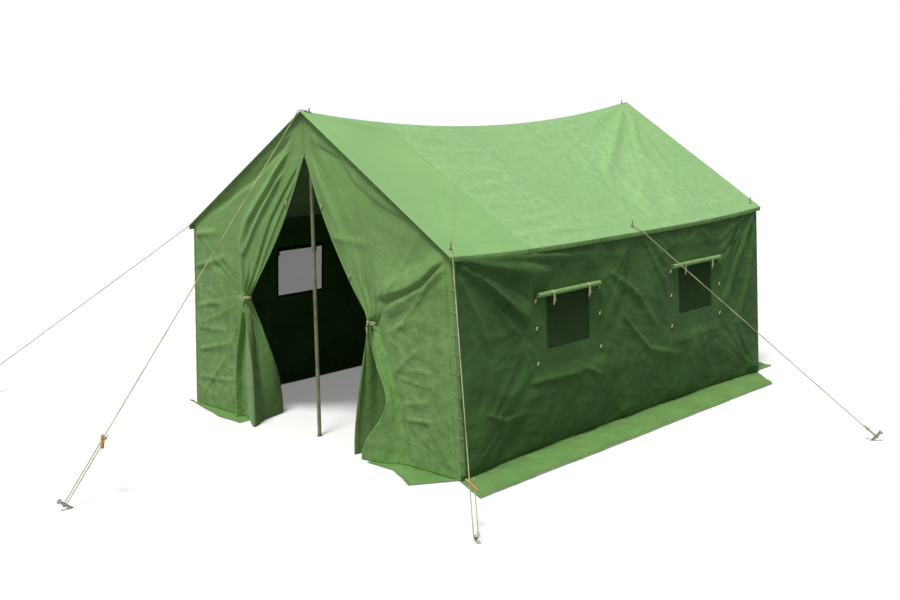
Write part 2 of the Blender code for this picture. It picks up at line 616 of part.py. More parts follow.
def make_window(name, side, middle, sill):
    """A window's screen, its rolled flap with two ties, and the strip of the flap that the roll hangs from."""
    half = WINDOW_WIDTH / 2 + SCREEN_OVERLAP
    screen = bmesh.new()
    wall_slab(screen, side, (middle - half, middle + half),
              (sill - SCREEN_OVERLAP, sill + WINDOW_HEIGHT + SCREEN_OVERLAP),
              -CLOTH - GAP - SCREEN_THICK, SCREEN_THICK)
    add_bmesh("window_screen_" + name, screen, SCREEN_DARK)

    radius = roll_radius()
    centre = Vector(on_wall(side, middle, sill + ROLL_ABOVE_SILL, radius + ROLL_STAND_OFF))
    outline = spiral_outline(math.pi - math.tau * ROLL_TURNS)
    roll = bmesh.new()
    ends = [[roll.verts.new((centre.x + side * out, middle + y, centre.z + up)) for out, up in outline]
            for y in (-ROLL_LENGTH / 2, ROLL_LENGTH / 2)]
    count = len(outline)
    for i in range(count):
        j = (i + 1) % count
        roll.faces.new((ends[0][i], ends[0][j], ends[1][j], ends[1][i]))
    for end in ends:
        for i in range(count // 2 - 1):
            roll.faces.new((end[i], end[i + 1], end[count - 2 - i], end[count - 1 - i]))
    made = add_bmesh("window_flap_roll_" + name, roll, CANVAS_WALL)
    for number, place in enumerate((-ROLL_TIE_SPACING / 2, ROLL_TIE_SPACING / 2)):
        band, tail = tie_band(centre, side, middle + place)
        join(made, cutter(f"window_tie_{name}_{number}", band))
        join(made, cutter(f"window_tie_tail_{name}_{number}", tail))

    strip = bmesh.new()
    wall_slab(strip, side, (middle - ROLL_LENGTH / 2, middle + ROLL_LENGTH / 2),
              (centre.z - FLAP_SHEET_BEHIND, centre.z + radius + FLAP_SHEET_HEIGHT), GAP, FLAP_SHEET_THICK)
    add_bmesh("window_flap_sheet_" + name, strip, CANVAS_WALL)


def pole_places():
    """x, y and tube radius of each pole: two ridge poles, then the side poles."""
    ridge_y = HALF_LENGTH - RIDGE_POLE_INSET
    side_x = HALF_WIDTH - SIDE_POLE_INSET
    corner_y = HALF_LENGTH - CORNER_POLE_INSET
    places = [(0.0, -ridge_y, RIDGE_POLE_RADIUS), (0.0, ridge_y, RIDGE_POLE_RADIUS)]
    for side in (1, -1):
        places += [(side * side_x, y, SIDE_POLE_RADIUS) for y in (-corner_y, MID_POLE_Y, corner_y)]
    return places


def shoulder_height(x, y, radius):
    """Top of a pole's shoulder, just under the lowest roof cloth and eyelet above it."""
    reach = abs(x) + radius
    return float(roof_height(reach, y)) - ROOF_DEPTH - DRAPE_GAP - GAP


def make_pole(name, x, y, radius, low, high, top, tip=0.0):
    """A steel tube, open below and closed above, with a foot where it meets the ground.

    Its top is a spike for the roof's eyelet up to tip, or else a spigot for the next tube.
    """
    bore = radius - TUBE_WALL
    profile = [(0, high - SHOULDER_THICK), (bore, high - SHOULDER_THICK), (bore, low)]
    if low == 0:
        flange = radius + FOOT_FLANGE
        profile += [(flange, low), (flange, low + FOOT_THICK), (radius, low + FOOT_THICK)]
    else:
        profile += [(radius, low)]
    profile += [(radius, high), (top, high)]
    if tip:
        profile += [(top, tip - top), (top / 2, tip), (0, tip)]
    else:
        profile += [(top, high + SPIGOT_LENGTH), (0, high + SPIGOT_LENGTH)]
    shape = bmesh.new()
    turn(shape, profile, POLE_SIDES, Matrix.Translation((x, y, 0)))
    add_bmesh(name, shape, PAINTED_POLE)


def pole_names():
    """Names of the poles in the order of their places."""
    sides = [f"side_pole_{side}_{spot}" for side in ("right", "left") for spot in ("front", "middle", "rear")]
    return ["ridge_pole_front", "ridge_pole_rear"] + sides


def make_poles():
    """Two-part ridge poles joined by spigots, and one-part side poles."""
    for name, (x, y, radius) in zip(pole_names(), pole_places()):
        shoulder = shoulder_height(x, y, radius)
        tip = float(roof_height(x, y))
        if name.startswith("ridge"):
            tip += RIDGE_SPIKE_ABOVE_ROOF
            make_pole(name + "_lower", x, y, radius, 0, JOINT_HEIGHT, radius - TUBE_WALL - SLIP)
            make_pole(name + "_upper", x, y, radius, JOINT_HEIGHT + SLIP, shoulder, SPIKE_RADIUS, tip)
        else:
            tip += SIDE_SPIKE_ABOVE_ROOF
            make_pole(name, x, y, radius, 0, shoulder, SPIKE_RADIUS, tip)


def make_eyelets():
    """Brass eyelets through the roof, each following the roof's slope round its spike."""
    bore = SPIKE_RADIUS + EYELET_CLEAR
    neck = bore + EYELET_WALL
    for name, (x_pole, y_pole, _) in zip(pole_names(), pole_places()):
        ring = bmesh.new()
        turn(ring, [(bore, -ROOF_DEPTH - DRAPE_GAP), (neck, -ROOF_DEPTH - DRAPE_GAP), (neck, DRAPE_GAP),
                    (EYELET_FLANGE, DRAPE_GAP), (EYELET_FLANGE, DRAPE_GAP + EYELET_THICK),
                    (bore, DRAPE_GAP + EYELET_THICK)], POLE_SIDES, Matrix.Translation((x_pole, y_pole, 0)), closed=True)
        for vert in ring.verts:
            vert.co.z += float(roof_height(vert.co.x, vert.co.y))
        add_bmesh(name.replace("pole", "eyelet"), ring, BRASS)


def rope_frame(pole, peg):
    """Where a guy rope runs: over the roof's edge at pole, then straight to its peg.

    Returns the edge point, the direction down the rope, the level direction across
    it, the peg's direction, and the middle of the rope's turn round the peg.
    """
    start = np.array(pole[:2])
    level = np.array(peg) - start
    level = level / np.linalg.norm(level)
    limits = np.array([HALF_WIDTH + EAVE_OVERHANG, HALF_LENGTH + EAVE_OVERHANG])
    ways = [(limit - abs(at)) / abs(go) for limit, at, go in zip(limits, start, level) if abs(go) > 0.05]
    out = min(ways) + EDGE_CLEAR
    edge_plan = start + level * out
    lift = DRAPE_GAP + EYELET_THICK + ROPE_DIAMETER / 2 + ROPE_CLEAR
    inside = start + level * (out - EDGE_CLEAR)
    edge = Vector((*edge_plan, float(roof_height(*inside)) + lift))
    turn_radius = PEG_RADIUS + ROPE_DIAMETER / 2 + GAP
    across = Vector((level[1], -level[0], 0))
    end = Vector((*peg, BIGHT_HEIGHT)) + across * turn_radius
    down = (end - edge).normalized()
    across = down.cross(Vector((0, 0, 1))).normalized()
    up = down.cross(across).normalized()
    if up.z < 0:
        up = -up
    middle = end - across * turn_radius
    return edge, down, across, up, middle, turn_radius, lift


def make_guy_rope(name, pole, peg, from_peg):
    """A rope from its eye on a spike, over the roof's edge, round its peg and back up to its runner.

    The runner is from_peg up the rope, and None stands for a rope without one.
    """
    edge, down, across, up, middle, turn_radius, lift = rope_frame(pole, peg)
    start = np.array(pole[:2])
    heading = math.atan2(peg[1] - start[1], peg[0] - start[0])
    points = []
    for degrees in (38, 80, 125, 180, 235, 280, 322):
        angle = heading + math.radians(degrees)
        x = start[0] + ROPE_EYE_RADIUS * math.cos(angle)
        y = start[1] + ROPE_EYE_RADIUS * math.sin(angle)
        points.append((x, y, float(roof_height(x, y)) + lift))
    before = start + (np.array(edge[:2]) - start) * 0.6
    points.append((*before, float(roof_height(*before)) + lift))
    points.append(tuple(edge))
    points.append(tuple(edge + down * 0.030 + Vector((0, 0, 0.002))))
    length = (middle + across * turn_radius - edge).length
    points.append(tuple(edge + down * length * 0.5))
    points.append(tuple(middle + across * turn_radius - down * turn_radius))
    outside = turn_radius / math.cos(math.radians(22.5))
    for degrees in (22.5, 67.5, 112.5, 157.5):
        angle = math.radians(degrees)
        points.append(tuple(middle + across * outside * math.cos(angle) + down * outside * math.sin(angle)))
    back = middle - across * turn_radius
    if from_peg:
        end = from_peg + knot_height() + KNOT_LENGTH + ROPE_TAIL
        points.append(tuple(back - down * end / 2))
        points.append(tuple(back - down * end))
    else:
        points.append(tuple(back - down * 0.060))
        points.append(tuple(back - down * 0.120))
    curve = bpy.data.curves.new(name, "CURVE")
    curve.dimensions = "3D"
    curve.bevel_depth = ROPE_DIAMETER / 2
    curve.bevel_resolution = 2
    curve.use_fill_caps = True
    spline = curve.splines.new("POLY")
    spline.points.add(len(points) - 1)
    for spot, point in zip(spline.points, points):
        spot.co = (*point, 1.0)
    made = bpy.data.objects.new(name, curve)
    curve.materials.append(material(name + "_finish", *ROPE_CREAM))
    bpy.context.collection.objects.link(made)


def knot_height():
    """From a runner's middle up to the underside of the knot that rests on it, measured along the rope."""
    return RUNNER_THICK / 2 / math.cos(RUNNER_TILT) + KNOT_RADIUS * math.tan(RUNNER_TILT) + GAP


def make_peg(name, pole, peg):
    """A round steel peg driven square to its rope, with a flat head; only what stands above the ground."""
    edge, down, across, up, middle, turn_radius, lift = rope_frame(pole, peg)
    place = Matrix.Translation(middle) @ toward(up, down)
    base = -0.2
    head = PEG_LENGTH / 2
    shape = bmesh.new()
    turn(shape, [(0, base), (PEG_RADIUS, base), (PEG_RADIUS, head - PEG_HEAD_THICK),
                 (PEG_HEAD_RADIUS, head - PEG_HEAD_THICK), (PEG_HEAD_RADIUS, head), (0, head)], POLE_SIDES, place)
    made = add_bmesh(name, shape, ZINC_STEEL)
    ground = bmesh.new()
    bmesh.ops.create_cube(ground, size=1.0, matrix=Matrix.Translation((*middle.xy, -0.5)))
    cut(made, cutter(name + "_ground_tool", ground))


def make_runner(name, pole, peg, from_peg):
    """A wooden runner with two holes for the rope's two strands, and the knot that stops it."""
    edge, down, across, up, middle, turn_radius, lift = rope_frame(pole, peg)
    centre = middle - down * from_peg
    along = (across * math.cos(RUNNER_TILT) - down * math.sin(RUNNER_TILT)).normalized()
    through = along.cross(up).normalized()
    place = Matrix.Translation(centre) @ Matrix((along, through.cross(along), through)).transposed().to_4x4()
    shape = bmesh.new()
    half, round_end = RUNNER_LENGTH / 2, RUNNER_WIDTH / 2
    outline = []
    for middle_x, first in ((half - round_end, -90), (round_end - half, 90)):
        for step in range(6):
            angle = math.radians(first + 36 * step)
            outline.append((middle_x + round_end * math.cos(angle), round_end * math.sin(angle)))
    base = shape.faces.new([shape.verts.new((x, y, -RUNNER_THICK / 2)) for x, y in outline])
    grown = bmesh.ops.extrude_face_region(shape, geom=[base])
    moved = [item for item in grown["geom"] if isinstance(item, bmesh.types.BMVert)]
    bmesh.ops.translate(shape, vec=(0, 0, RUNNER_THICK), verts=moved)
    bmesh.ops.transform(shape, matrix=place, verts=shape.verts[:])
    made = add_bmesh(name, shape, RUNNER_WOOD)
    tool = bmesh.new()
    hole = ROPE_DIAMETER / 2 + RUNNER_HOLE_CLEAR
    for way in (1, -1):
        spot = Matrix.Translation(centre + across * way * turn_radius) @ toward(down, across)
        turn(tool, [(0, -0.06), (hole, -0.06), (hole, 0.06), (0, 0.06)], SMALL_SIDES, spot)
    cut(made, cutter(name + "_hole_tool", tool))
    knot = bmesh.new()
    bore = ROPE_DIAMETER / 2 + RUNNER_HOLE_CLEAR
    spot = Matrix.Translation(centre - across * turn_radius) @ toward(-down, across)
    low = knot_height()
    turn(knot, [(bore, low), (KNOT_RADIUS * 0.8, low), (KNOT_RADIUS, low + KNOT_LENGTH * 0.3),
                (KNOT_RADIUS, low + KNOT_LENGTH * 0.7), (KNOT_RADIUS * 0.8, low + KNOT_LENGTH),
                (bore, low + KNOT_LENGTH)], SMALL_SIDES, spot, closed=True)
    add_bmesh(name + "_knot", knot, ROPE_CREAM)


def make_ropes():
    """Four guy ropes with their pegs; the three at the front have runners."""
    places = pole_places()
    lines = (("front_ridge", places[0], PEG_FRONT, RUNNER_FRONT_FROM_PEG),
             ("front_right", places[2], PEG_FRONT_RIGHT, RUNNER_RIGHT_FROM_PEG),
             ("front_left", places[5], PEG_FRONT_LEFT, RUNNER_LEFT_FROM_PEG),
             ("middle_right", places[3], PEG_MID_RIGHT, None))
    for name, pole, peg, from_peg in lines:
        make_guy_rope("guy_rope_" + name, pole, peg, from_peg)
        make_peg("peg_" + name, pole, peg)
        if from_peg:
            make_runner("runner_" + name, pole, peg, from_peg)
            edge, down, across, up, middle, turn_radius, lift = rope_frame(pole, peg)
            print(name, "rope direction", [round(v, 6) for v in down])


def main():
    """Build the tent."""
    for old in list(bpy.data.objects):
        bpy.data.objects.remove(old)
    make_roof()
    for side in (1, -1):
        make_side_wall(side)
    make_rear_wall()
    for place in door_sides():
        make_front_wall(*place)
        make_door_leaf(*place)
        make_door_tie(*place)
    make_mud_flaps()
    for place in window_places():
        make_window(*place)
    make_poles()
    make_eyelets()
    make_ropes()


main()
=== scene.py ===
"""Field tent, dressed for the picture: canvas, net, ropes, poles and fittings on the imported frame.

Units are metres and +Z is up. The front gable faces -Y and the right wall faces +X.
"""
from __future__ import annotations
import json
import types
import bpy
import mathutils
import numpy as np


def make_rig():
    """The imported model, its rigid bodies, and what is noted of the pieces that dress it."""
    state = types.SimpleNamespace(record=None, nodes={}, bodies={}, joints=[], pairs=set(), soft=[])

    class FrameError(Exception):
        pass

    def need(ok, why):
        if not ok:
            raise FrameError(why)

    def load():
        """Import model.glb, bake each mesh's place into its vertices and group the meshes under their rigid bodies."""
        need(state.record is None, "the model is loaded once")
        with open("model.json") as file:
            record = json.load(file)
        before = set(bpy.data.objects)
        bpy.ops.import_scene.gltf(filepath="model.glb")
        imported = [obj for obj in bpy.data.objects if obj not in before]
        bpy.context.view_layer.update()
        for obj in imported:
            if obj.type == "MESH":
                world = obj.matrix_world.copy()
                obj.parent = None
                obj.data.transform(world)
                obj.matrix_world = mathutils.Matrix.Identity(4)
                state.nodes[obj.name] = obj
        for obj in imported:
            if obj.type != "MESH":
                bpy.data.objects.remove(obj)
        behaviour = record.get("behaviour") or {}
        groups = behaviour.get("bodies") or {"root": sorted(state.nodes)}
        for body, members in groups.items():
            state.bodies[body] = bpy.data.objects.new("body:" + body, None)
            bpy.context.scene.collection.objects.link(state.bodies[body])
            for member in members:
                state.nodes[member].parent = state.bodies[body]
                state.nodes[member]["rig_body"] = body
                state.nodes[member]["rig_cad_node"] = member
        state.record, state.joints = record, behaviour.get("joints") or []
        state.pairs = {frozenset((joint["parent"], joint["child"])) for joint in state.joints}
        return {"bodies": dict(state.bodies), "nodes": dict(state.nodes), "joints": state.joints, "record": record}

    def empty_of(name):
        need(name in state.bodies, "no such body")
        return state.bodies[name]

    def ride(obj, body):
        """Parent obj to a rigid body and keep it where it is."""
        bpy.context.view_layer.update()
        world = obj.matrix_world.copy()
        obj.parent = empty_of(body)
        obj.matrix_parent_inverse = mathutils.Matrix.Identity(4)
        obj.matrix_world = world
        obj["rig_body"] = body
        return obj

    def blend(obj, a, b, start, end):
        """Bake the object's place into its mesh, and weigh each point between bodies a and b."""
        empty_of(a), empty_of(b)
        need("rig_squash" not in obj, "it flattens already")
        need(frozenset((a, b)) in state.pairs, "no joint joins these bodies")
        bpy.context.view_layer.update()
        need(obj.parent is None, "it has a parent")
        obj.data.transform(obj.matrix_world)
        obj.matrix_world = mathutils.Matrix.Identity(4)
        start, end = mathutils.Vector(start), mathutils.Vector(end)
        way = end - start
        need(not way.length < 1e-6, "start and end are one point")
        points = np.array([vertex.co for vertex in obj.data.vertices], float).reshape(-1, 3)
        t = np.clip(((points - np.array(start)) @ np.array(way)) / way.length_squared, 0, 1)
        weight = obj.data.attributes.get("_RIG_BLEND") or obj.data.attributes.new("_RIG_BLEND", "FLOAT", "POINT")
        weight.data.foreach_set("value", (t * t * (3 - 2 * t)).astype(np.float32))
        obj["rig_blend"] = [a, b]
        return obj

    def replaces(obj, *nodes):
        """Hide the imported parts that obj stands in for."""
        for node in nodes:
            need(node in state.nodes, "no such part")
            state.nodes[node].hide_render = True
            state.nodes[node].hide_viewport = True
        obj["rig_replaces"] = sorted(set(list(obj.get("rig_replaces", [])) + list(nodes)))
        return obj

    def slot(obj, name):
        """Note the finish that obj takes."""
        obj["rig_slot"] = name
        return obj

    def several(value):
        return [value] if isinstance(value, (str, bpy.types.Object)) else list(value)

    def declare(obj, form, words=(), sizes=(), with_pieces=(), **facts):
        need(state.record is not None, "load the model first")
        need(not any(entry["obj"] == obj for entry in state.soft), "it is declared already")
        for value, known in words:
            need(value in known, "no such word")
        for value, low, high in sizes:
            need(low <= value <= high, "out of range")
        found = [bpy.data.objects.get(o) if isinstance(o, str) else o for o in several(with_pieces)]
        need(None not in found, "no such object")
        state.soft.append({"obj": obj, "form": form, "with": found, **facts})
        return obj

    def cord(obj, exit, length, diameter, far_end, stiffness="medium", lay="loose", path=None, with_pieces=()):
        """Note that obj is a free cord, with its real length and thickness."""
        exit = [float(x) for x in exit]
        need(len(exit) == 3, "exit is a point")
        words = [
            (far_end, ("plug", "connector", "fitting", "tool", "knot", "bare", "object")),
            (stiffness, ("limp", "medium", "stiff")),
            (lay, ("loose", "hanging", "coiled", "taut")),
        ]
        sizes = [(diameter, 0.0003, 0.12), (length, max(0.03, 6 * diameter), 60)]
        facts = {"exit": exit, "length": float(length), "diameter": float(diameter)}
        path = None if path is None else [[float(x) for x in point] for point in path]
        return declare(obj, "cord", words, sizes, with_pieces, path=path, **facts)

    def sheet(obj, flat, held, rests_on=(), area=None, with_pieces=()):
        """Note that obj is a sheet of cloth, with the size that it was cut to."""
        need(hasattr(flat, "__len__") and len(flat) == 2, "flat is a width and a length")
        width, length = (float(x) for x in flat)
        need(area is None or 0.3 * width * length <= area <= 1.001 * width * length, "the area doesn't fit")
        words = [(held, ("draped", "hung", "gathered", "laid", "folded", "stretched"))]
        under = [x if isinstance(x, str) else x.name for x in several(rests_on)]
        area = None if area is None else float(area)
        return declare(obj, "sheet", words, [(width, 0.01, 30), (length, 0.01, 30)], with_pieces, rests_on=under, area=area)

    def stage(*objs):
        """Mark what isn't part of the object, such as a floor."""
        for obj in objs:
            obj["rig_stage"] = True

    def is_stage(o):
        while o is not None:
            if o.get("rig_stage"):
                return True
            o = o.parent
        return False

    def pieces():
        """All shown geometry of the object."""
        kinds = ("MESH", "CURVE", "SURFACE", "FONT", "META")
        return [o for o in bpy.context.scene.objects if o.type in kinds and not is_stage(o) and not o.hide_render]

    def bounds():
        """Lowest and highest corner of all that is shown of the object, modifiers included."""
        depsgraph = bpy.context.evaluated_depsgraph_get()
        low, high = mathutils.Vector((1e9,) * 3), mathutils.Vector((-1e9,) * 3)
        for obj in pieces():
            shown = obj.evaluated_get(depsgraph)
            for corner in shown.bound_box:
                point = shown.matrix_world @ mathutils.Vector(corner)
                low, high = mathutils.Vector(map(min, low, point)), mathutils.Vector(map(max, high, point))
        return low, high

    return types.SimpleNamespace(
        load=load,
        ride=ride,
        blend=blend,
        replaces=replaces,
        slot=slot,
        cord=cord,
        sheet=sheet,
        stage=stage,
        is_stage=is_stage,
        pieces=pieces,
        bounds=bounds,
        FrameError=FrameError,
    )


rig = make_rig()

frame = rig.load()

import json
import logging
import math
from collections.abc import Callable
from dataclasses import dataclass, field
from enum import IntEnum
from functools import cache
from typing import NamedTuple

import bmesh
import bpy
import numpy as np
from mathutils import Matrix, Vector

log = logging.getLogger("tent")
TENT = "tent"                       # the body that stands still
SIZE_FILE = "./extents.json"


Array = np.ndarray
Piece = bpy.types.Object
Nodes = bpy.types.NodeTree
Socket = bpy.types.NodeSocket
Pair = tuple[float, float]
Triple = tuple[float, float, float]
Line = tuple[Pair, ...]
FoldRow = tuple[Line, float, float, float]      # points, left, right and height of one fold
FanRow = tuple[float, Pair, float, float, float, float, int]    # height, and then what fan takes
Carry = Callable[[Piece], None]                 # makes a piece move with its body
Settings = dict[str | int, object]              # of a node
Layer = tuple[Socket, float, float, object, str]
Bump = tuple[Socket, float, float]


class Half(IntEnum):
    """One of two halves of the tent, whose number is the sign of a coordinate there."""

    @property
    def key(self) -> str:
        """Its word in the names of pieces."""
        return self.name.lower()


class Side(Half):
    """The two long sides of the tent, seen from the front; the number is the sign of x there."""

    RIGHT = 1
    LEFT = -1


class End(Half):
    """The two gables; the number is the sign of y there."""

    FRONT = -1
    REAR = 1


# Surfaces worked out on grids


def ramp(value: Array, low: float, high: float) -> Array:
    """Rise from 0 at low to 1 at high along a curve with level ends.

    Args:
        value: Any array.
        low: Where the rise starts.
        high: Where it ends; it may be less than low, which makes a fall.

    Returns:
        An array like value, from 0 to 1.
    """
    t = np.clip((value - low) / (high - low), 0.0, 1.0)
    return t * t * (3.0 - 2.0 * t)


def noise(x: Array, y: Array, cell: float, seed: int, octaves: int = 1) -> Array:
    """Smooth noise: seeded random heights on a square lattice, joined by a fifth-power step.

    Args:
        x: First coordinate, in metres.
        y: Second coordinate, in metres.
        cell: Spacing of the lattice, in metres.
        seed: Which random heights.
        octaves: How many lattices are added, each half as wide and half as high as the last.

    Returns:
        Heights from about -1 to 1.
    """
    total = np.zeros(np.broadcast(x, y).shape)
    weight = 0.0
    for octave in range(octaves):
        heights = np.random.default_rng(seed + 101 * octave).uniform(-1.0, 1.0, (64, 64))
        share = 0.5 ** octave
        turn = 0.6 + 1.3 * octave
        a = (x * math.cos(turn) - y * math.sin(turn)) / (cell * share)
        b = (x * math.sin(turn) + y * math.cos(turn)) / (cell * share)
        i, j = np.floor(a).astype(int), np.floor(b).astype(int)
        p, q = a - i, b - j
        p = p ** 3 * (p * (6 * p - 15) + 10)
        q = q ** 3 * (q * (6 * q - 15) + 10)
        i0, j0, i1, j1 = i % 64, j % 64, (i + 1) % 64, (j + 1) % 64
        low = heights[i0, j0] * (1 - p) + heights[i1, j0] * p
        high = heights[i0, j1] * (1 - p) + heights[i1, j1] * p
        total = total + share * (low * (1 - q) + high * q)
        weight += share
    return total / weight


def fan(x: Array, y: Array, apex: Pair, bearing: float, spread: float, count: float, length: float,
        seed: int) -> Array:
    """Tension folds that spread from a point: sharp ridges by angle, which grow and then fade outwards.

    The ridges are 1 - |noise of the angle|, squared, in a window of angles round the bearing.

    Args:
        x: First coordinate on the cloth.
        y: Second coordinate on the cloth.
        apex: The point that the folds leave.
        bearing: Middle direction of the fan, in degrees.
        spread: Half the fan's width, in degrees.
        count: Ridges in a half turn.
        length: Distance at which the folds are deepest.
        seed: Which folds.

    Returns:
        Heights from 0 to 1.
    """
    dx, dy = x - apex[0], y - apex[1]
    reach = np.hypot(dx, dy)
    turn = (np.arctan2(dy, dx) - math.radians(bearing) + math.pi) % math.tau - math.pi
    window = np.exp(-(turn / math.radians(spread)) ** 2)
    wander = 0.25 * noise(reach, turn, 0.5, seed + 7)
    ridge = 1.0 - np.abs(noise((turn + wander * 0.12) * count / math.pi, 0.35 * reach / length, 1.0, seed))
    return ridge ** 2 * window * (reach / length) * np.exp(1.0 - reach / length)


def fans(x: Array, y: Array, seed: int, rows: tuple[FanRow, ...]) -> Array:
    """Several fans together: each row holds its height, and then apex to seed as fan takes them."""
    return sum(height * fan(x, y, *shape, seed + own) for height, *shape, own in rows)


def fold_line(x: Array, y: Array, points: Line, left: float, right: float) -> Array:
    """One long fold through points: a bell across it, wider towards its end, which fades at both ends.

    Args:
        x: First coordinate on the cloth.
        y: Second coordinate on the cloth.
        points: Places along its crest.
        left: From the crest to the fold's foot on the left of the way along it.
        right: The same on the right; a short side is a steep one.

    Returns:
        Heights from 0 to 1.
    """
    knots = np.asarray(points, float)
    steps = np.diff(knots, axis=0)
    spans = np.hypot(steps[:, 0], steps[:, 1])
    nearest, off, at = np.full(np.shape(x), np.inf), np.zeros(np.shape(x)), np.zeros(np.shape(x))
    run = 0.0
    for start, step, span in zip(knots, steps, spans):
        share = np.clip(((x - start[0]) * step[0] + (y - start[1]) * step[1]) / span ** 2, 0, 1)
        dx, dy = x - start[0] - share * step[0], y - start[1] - share * step[1]
        apart = np.hypot(dx, dy)
        closer = apart < nearest
        nearest = np.where(closer, apart, nearest)
        off = np.where(closer, np.sign(step[0] * dy - step[1] * dx) * apart, off)
        at = np.where(closer, (run + share * span) / spans.sum(), at)
        run += span
    wide = np.where(off > 0, left, right) * (0.45 + 0.55 * at)
    return np.exp(-(off / wide) ** 2) * ramp(at, 0.0, 0.14) * ramp(at, 1.0, 0.72)


def fold_lines(x: Array, y: Array, rows: tuple[FoldRow, ...]) -> Array:
    """Several long folds together: each row holds its points, left, right and height."""
    return sum(height * fold_line(x, y, points, left, right) for points, left, right, height in rows)


def crumple(x: Array, y: Array, cell: float, seed: int, power: float = 2.0) -> Array:
    """Creases at random: sharp lines where bent noise passes through nought.

    Args:
        x: First coordinate, which may be scaled to stretch the creases.
        y: Second coordinate.
        cell: Spacing of the creases.
        seed: Which creases.
        power: How sharp they are.

    Returns:
        Heights from 0 to 1.
    """
    bent = noise(x, y, cell * 1.7, seed + 3) * cell * 0.5
    return (1.0 - np.abs(noise(x + bent, y - bent, cell, seed, 2))) ** power


def bands(value: Array, places: tuple[float, ...], width: float) -> Array:
    """A mask that is 1 within half a width of any place, with a soft edge of a tenth of the width."""
    near = np.min(np.abs(np.asarray(value)[..., None] - np.array(places)), axis=-1)
    return ramp(near, width * 0.55, width * 0.45)


def graded(breaks: list[float], longest: float) -> Array:
    """Grid lines through all the breaks.

    Args:
        breaks: Places that have a line, in any order.
        longest: Longest step between two lines.

    Returns:
        The lines in rising order.
    """
    marks = sorted(set(round(value, 5) for value in breaks))
    runs = [np.linspace(low, high, max(1, math.ceil((high - low) / longest)), endpoint=False)
            for low, high in zip(marks, marks[1:])]
    return np.concatenate(runs + [[marks[-1]]])


def around(places: list[float] | tuple[float, ...], offsets: tuple[float, ...]) -> list[float]:
    """Grid lines at the same offsets from each place, as a seam or hem needs them."""
    return [place + offset for place in places for offset in offsets]


def smooth_curve(points: Array | list, count: int) -> Array:
    """A smooth curve through points: between two of them, a cubic whose slopes come from their neighbours.

    Args:
        points: Places to pass through.
        count: Points wanted.

    Returns:
        Places on the curve, evenly spread by number.
    """
    knots = np.asarray(points, float)
    ends = np.vstack([2 * knots[0] - knots[1], knots, 2 * knots[-1] - knots[-2]])
    at = np.linspace(0, len(knots) - 1, count)
    first = np.minimum(at.astype(int), len(knots) - 2)
    t = (at - first)[:, None]
    a, b, c, d = (ends[first + step] for step in range(4))
    square, cube = 2 * a - 5 * b + 4 * c - d, 3 * b - a - 3 * c + d
    return 0.5 * (2 * b + (c - a) * t + square * t ** 2 + cube * t ** 3)


def stacked(*parts: object) -> Array:
    """Join arrays or numbers, as coordinates, along a new last axis."""
    return np.stack(np.broadcast_arrays(*parts), axis=-1)


def run_along(points: Array) -> Array:
    """Distance of each point from the first, along the run of points."""
    return np.concatenate([[0], np.cumsum(np.linalg.norm(np.diff(points, axis=0), axis=1))])


def even_path(points: Array | list, step: float) -> Array:
    """A smooth curve through points, resampled evenly.

    Args:
        points: Places to pass through.
        step: Distance between two points of the result, at most.

    Returns:
        Places on the curve.
    """
    rough = smooth_curve(points, 40 * len(points))
    run = run_along(rough)
    at = np.linspace(0, run[-1], max(3, math.ceil(run[-1] / step) + 1))
    return np.stack([np.interp(at, run, rough[:, axis]) for axis in range(3)], axis=-1)


@dataclass
class Grid:
    """A surface as rows and columns of points, with its cloth coordinates and masks."""

    points: Array                   # shaped (rows, columns, 3)
    cloth: Array | None = None      # metres on the flat cloth, for the UV map
    masks: dict[str, Array] = field(default_factory=dict)   # values from 0 to 1, for materials
    holes: Array | None = None      # true for each cell that is left out
    closed: bool = False            # the last column joins the first

    def cells(self) -> Array:
        """The cells between the rows and columns, less the holes.

        Returns:
            Corner numbers, shaped (cells, 4).
        """
        rows, columns = self.points.shape[:2]
        index = np.arange(rows * columns).reshape(rows, columns)
        if self.closed:
            index = np.concatenate([index, index[:, :1]], axis=1)
        quads = np.stack([index[:-1, :-1], index[:-1, 1:], index[1:, 1:], index[1:, :-1]], axis=-1)
        kept = np.ones(quads.shape[:2], bool) if self.holes is None else ~self.holes
        return quads[kept].reshape(-1, 4)

    def facing(self, outward: Triple) -> bool:
        """Whether most of the surface faces a direction, as its cells are wound.

        Args:
            outward: The direction.

        Returns:
            True where it does.
        """
        quads, flat = self.cells(), self.points.reshape(-1, 3)
        normals = np.cross(flat[quads[:, 2]] - flat[quads[:, 0]], flat[quads[:, 3]] - flat[quads[:, 1]])
        return float((normals @ np.asarray(outward, float)).sum()) > 0


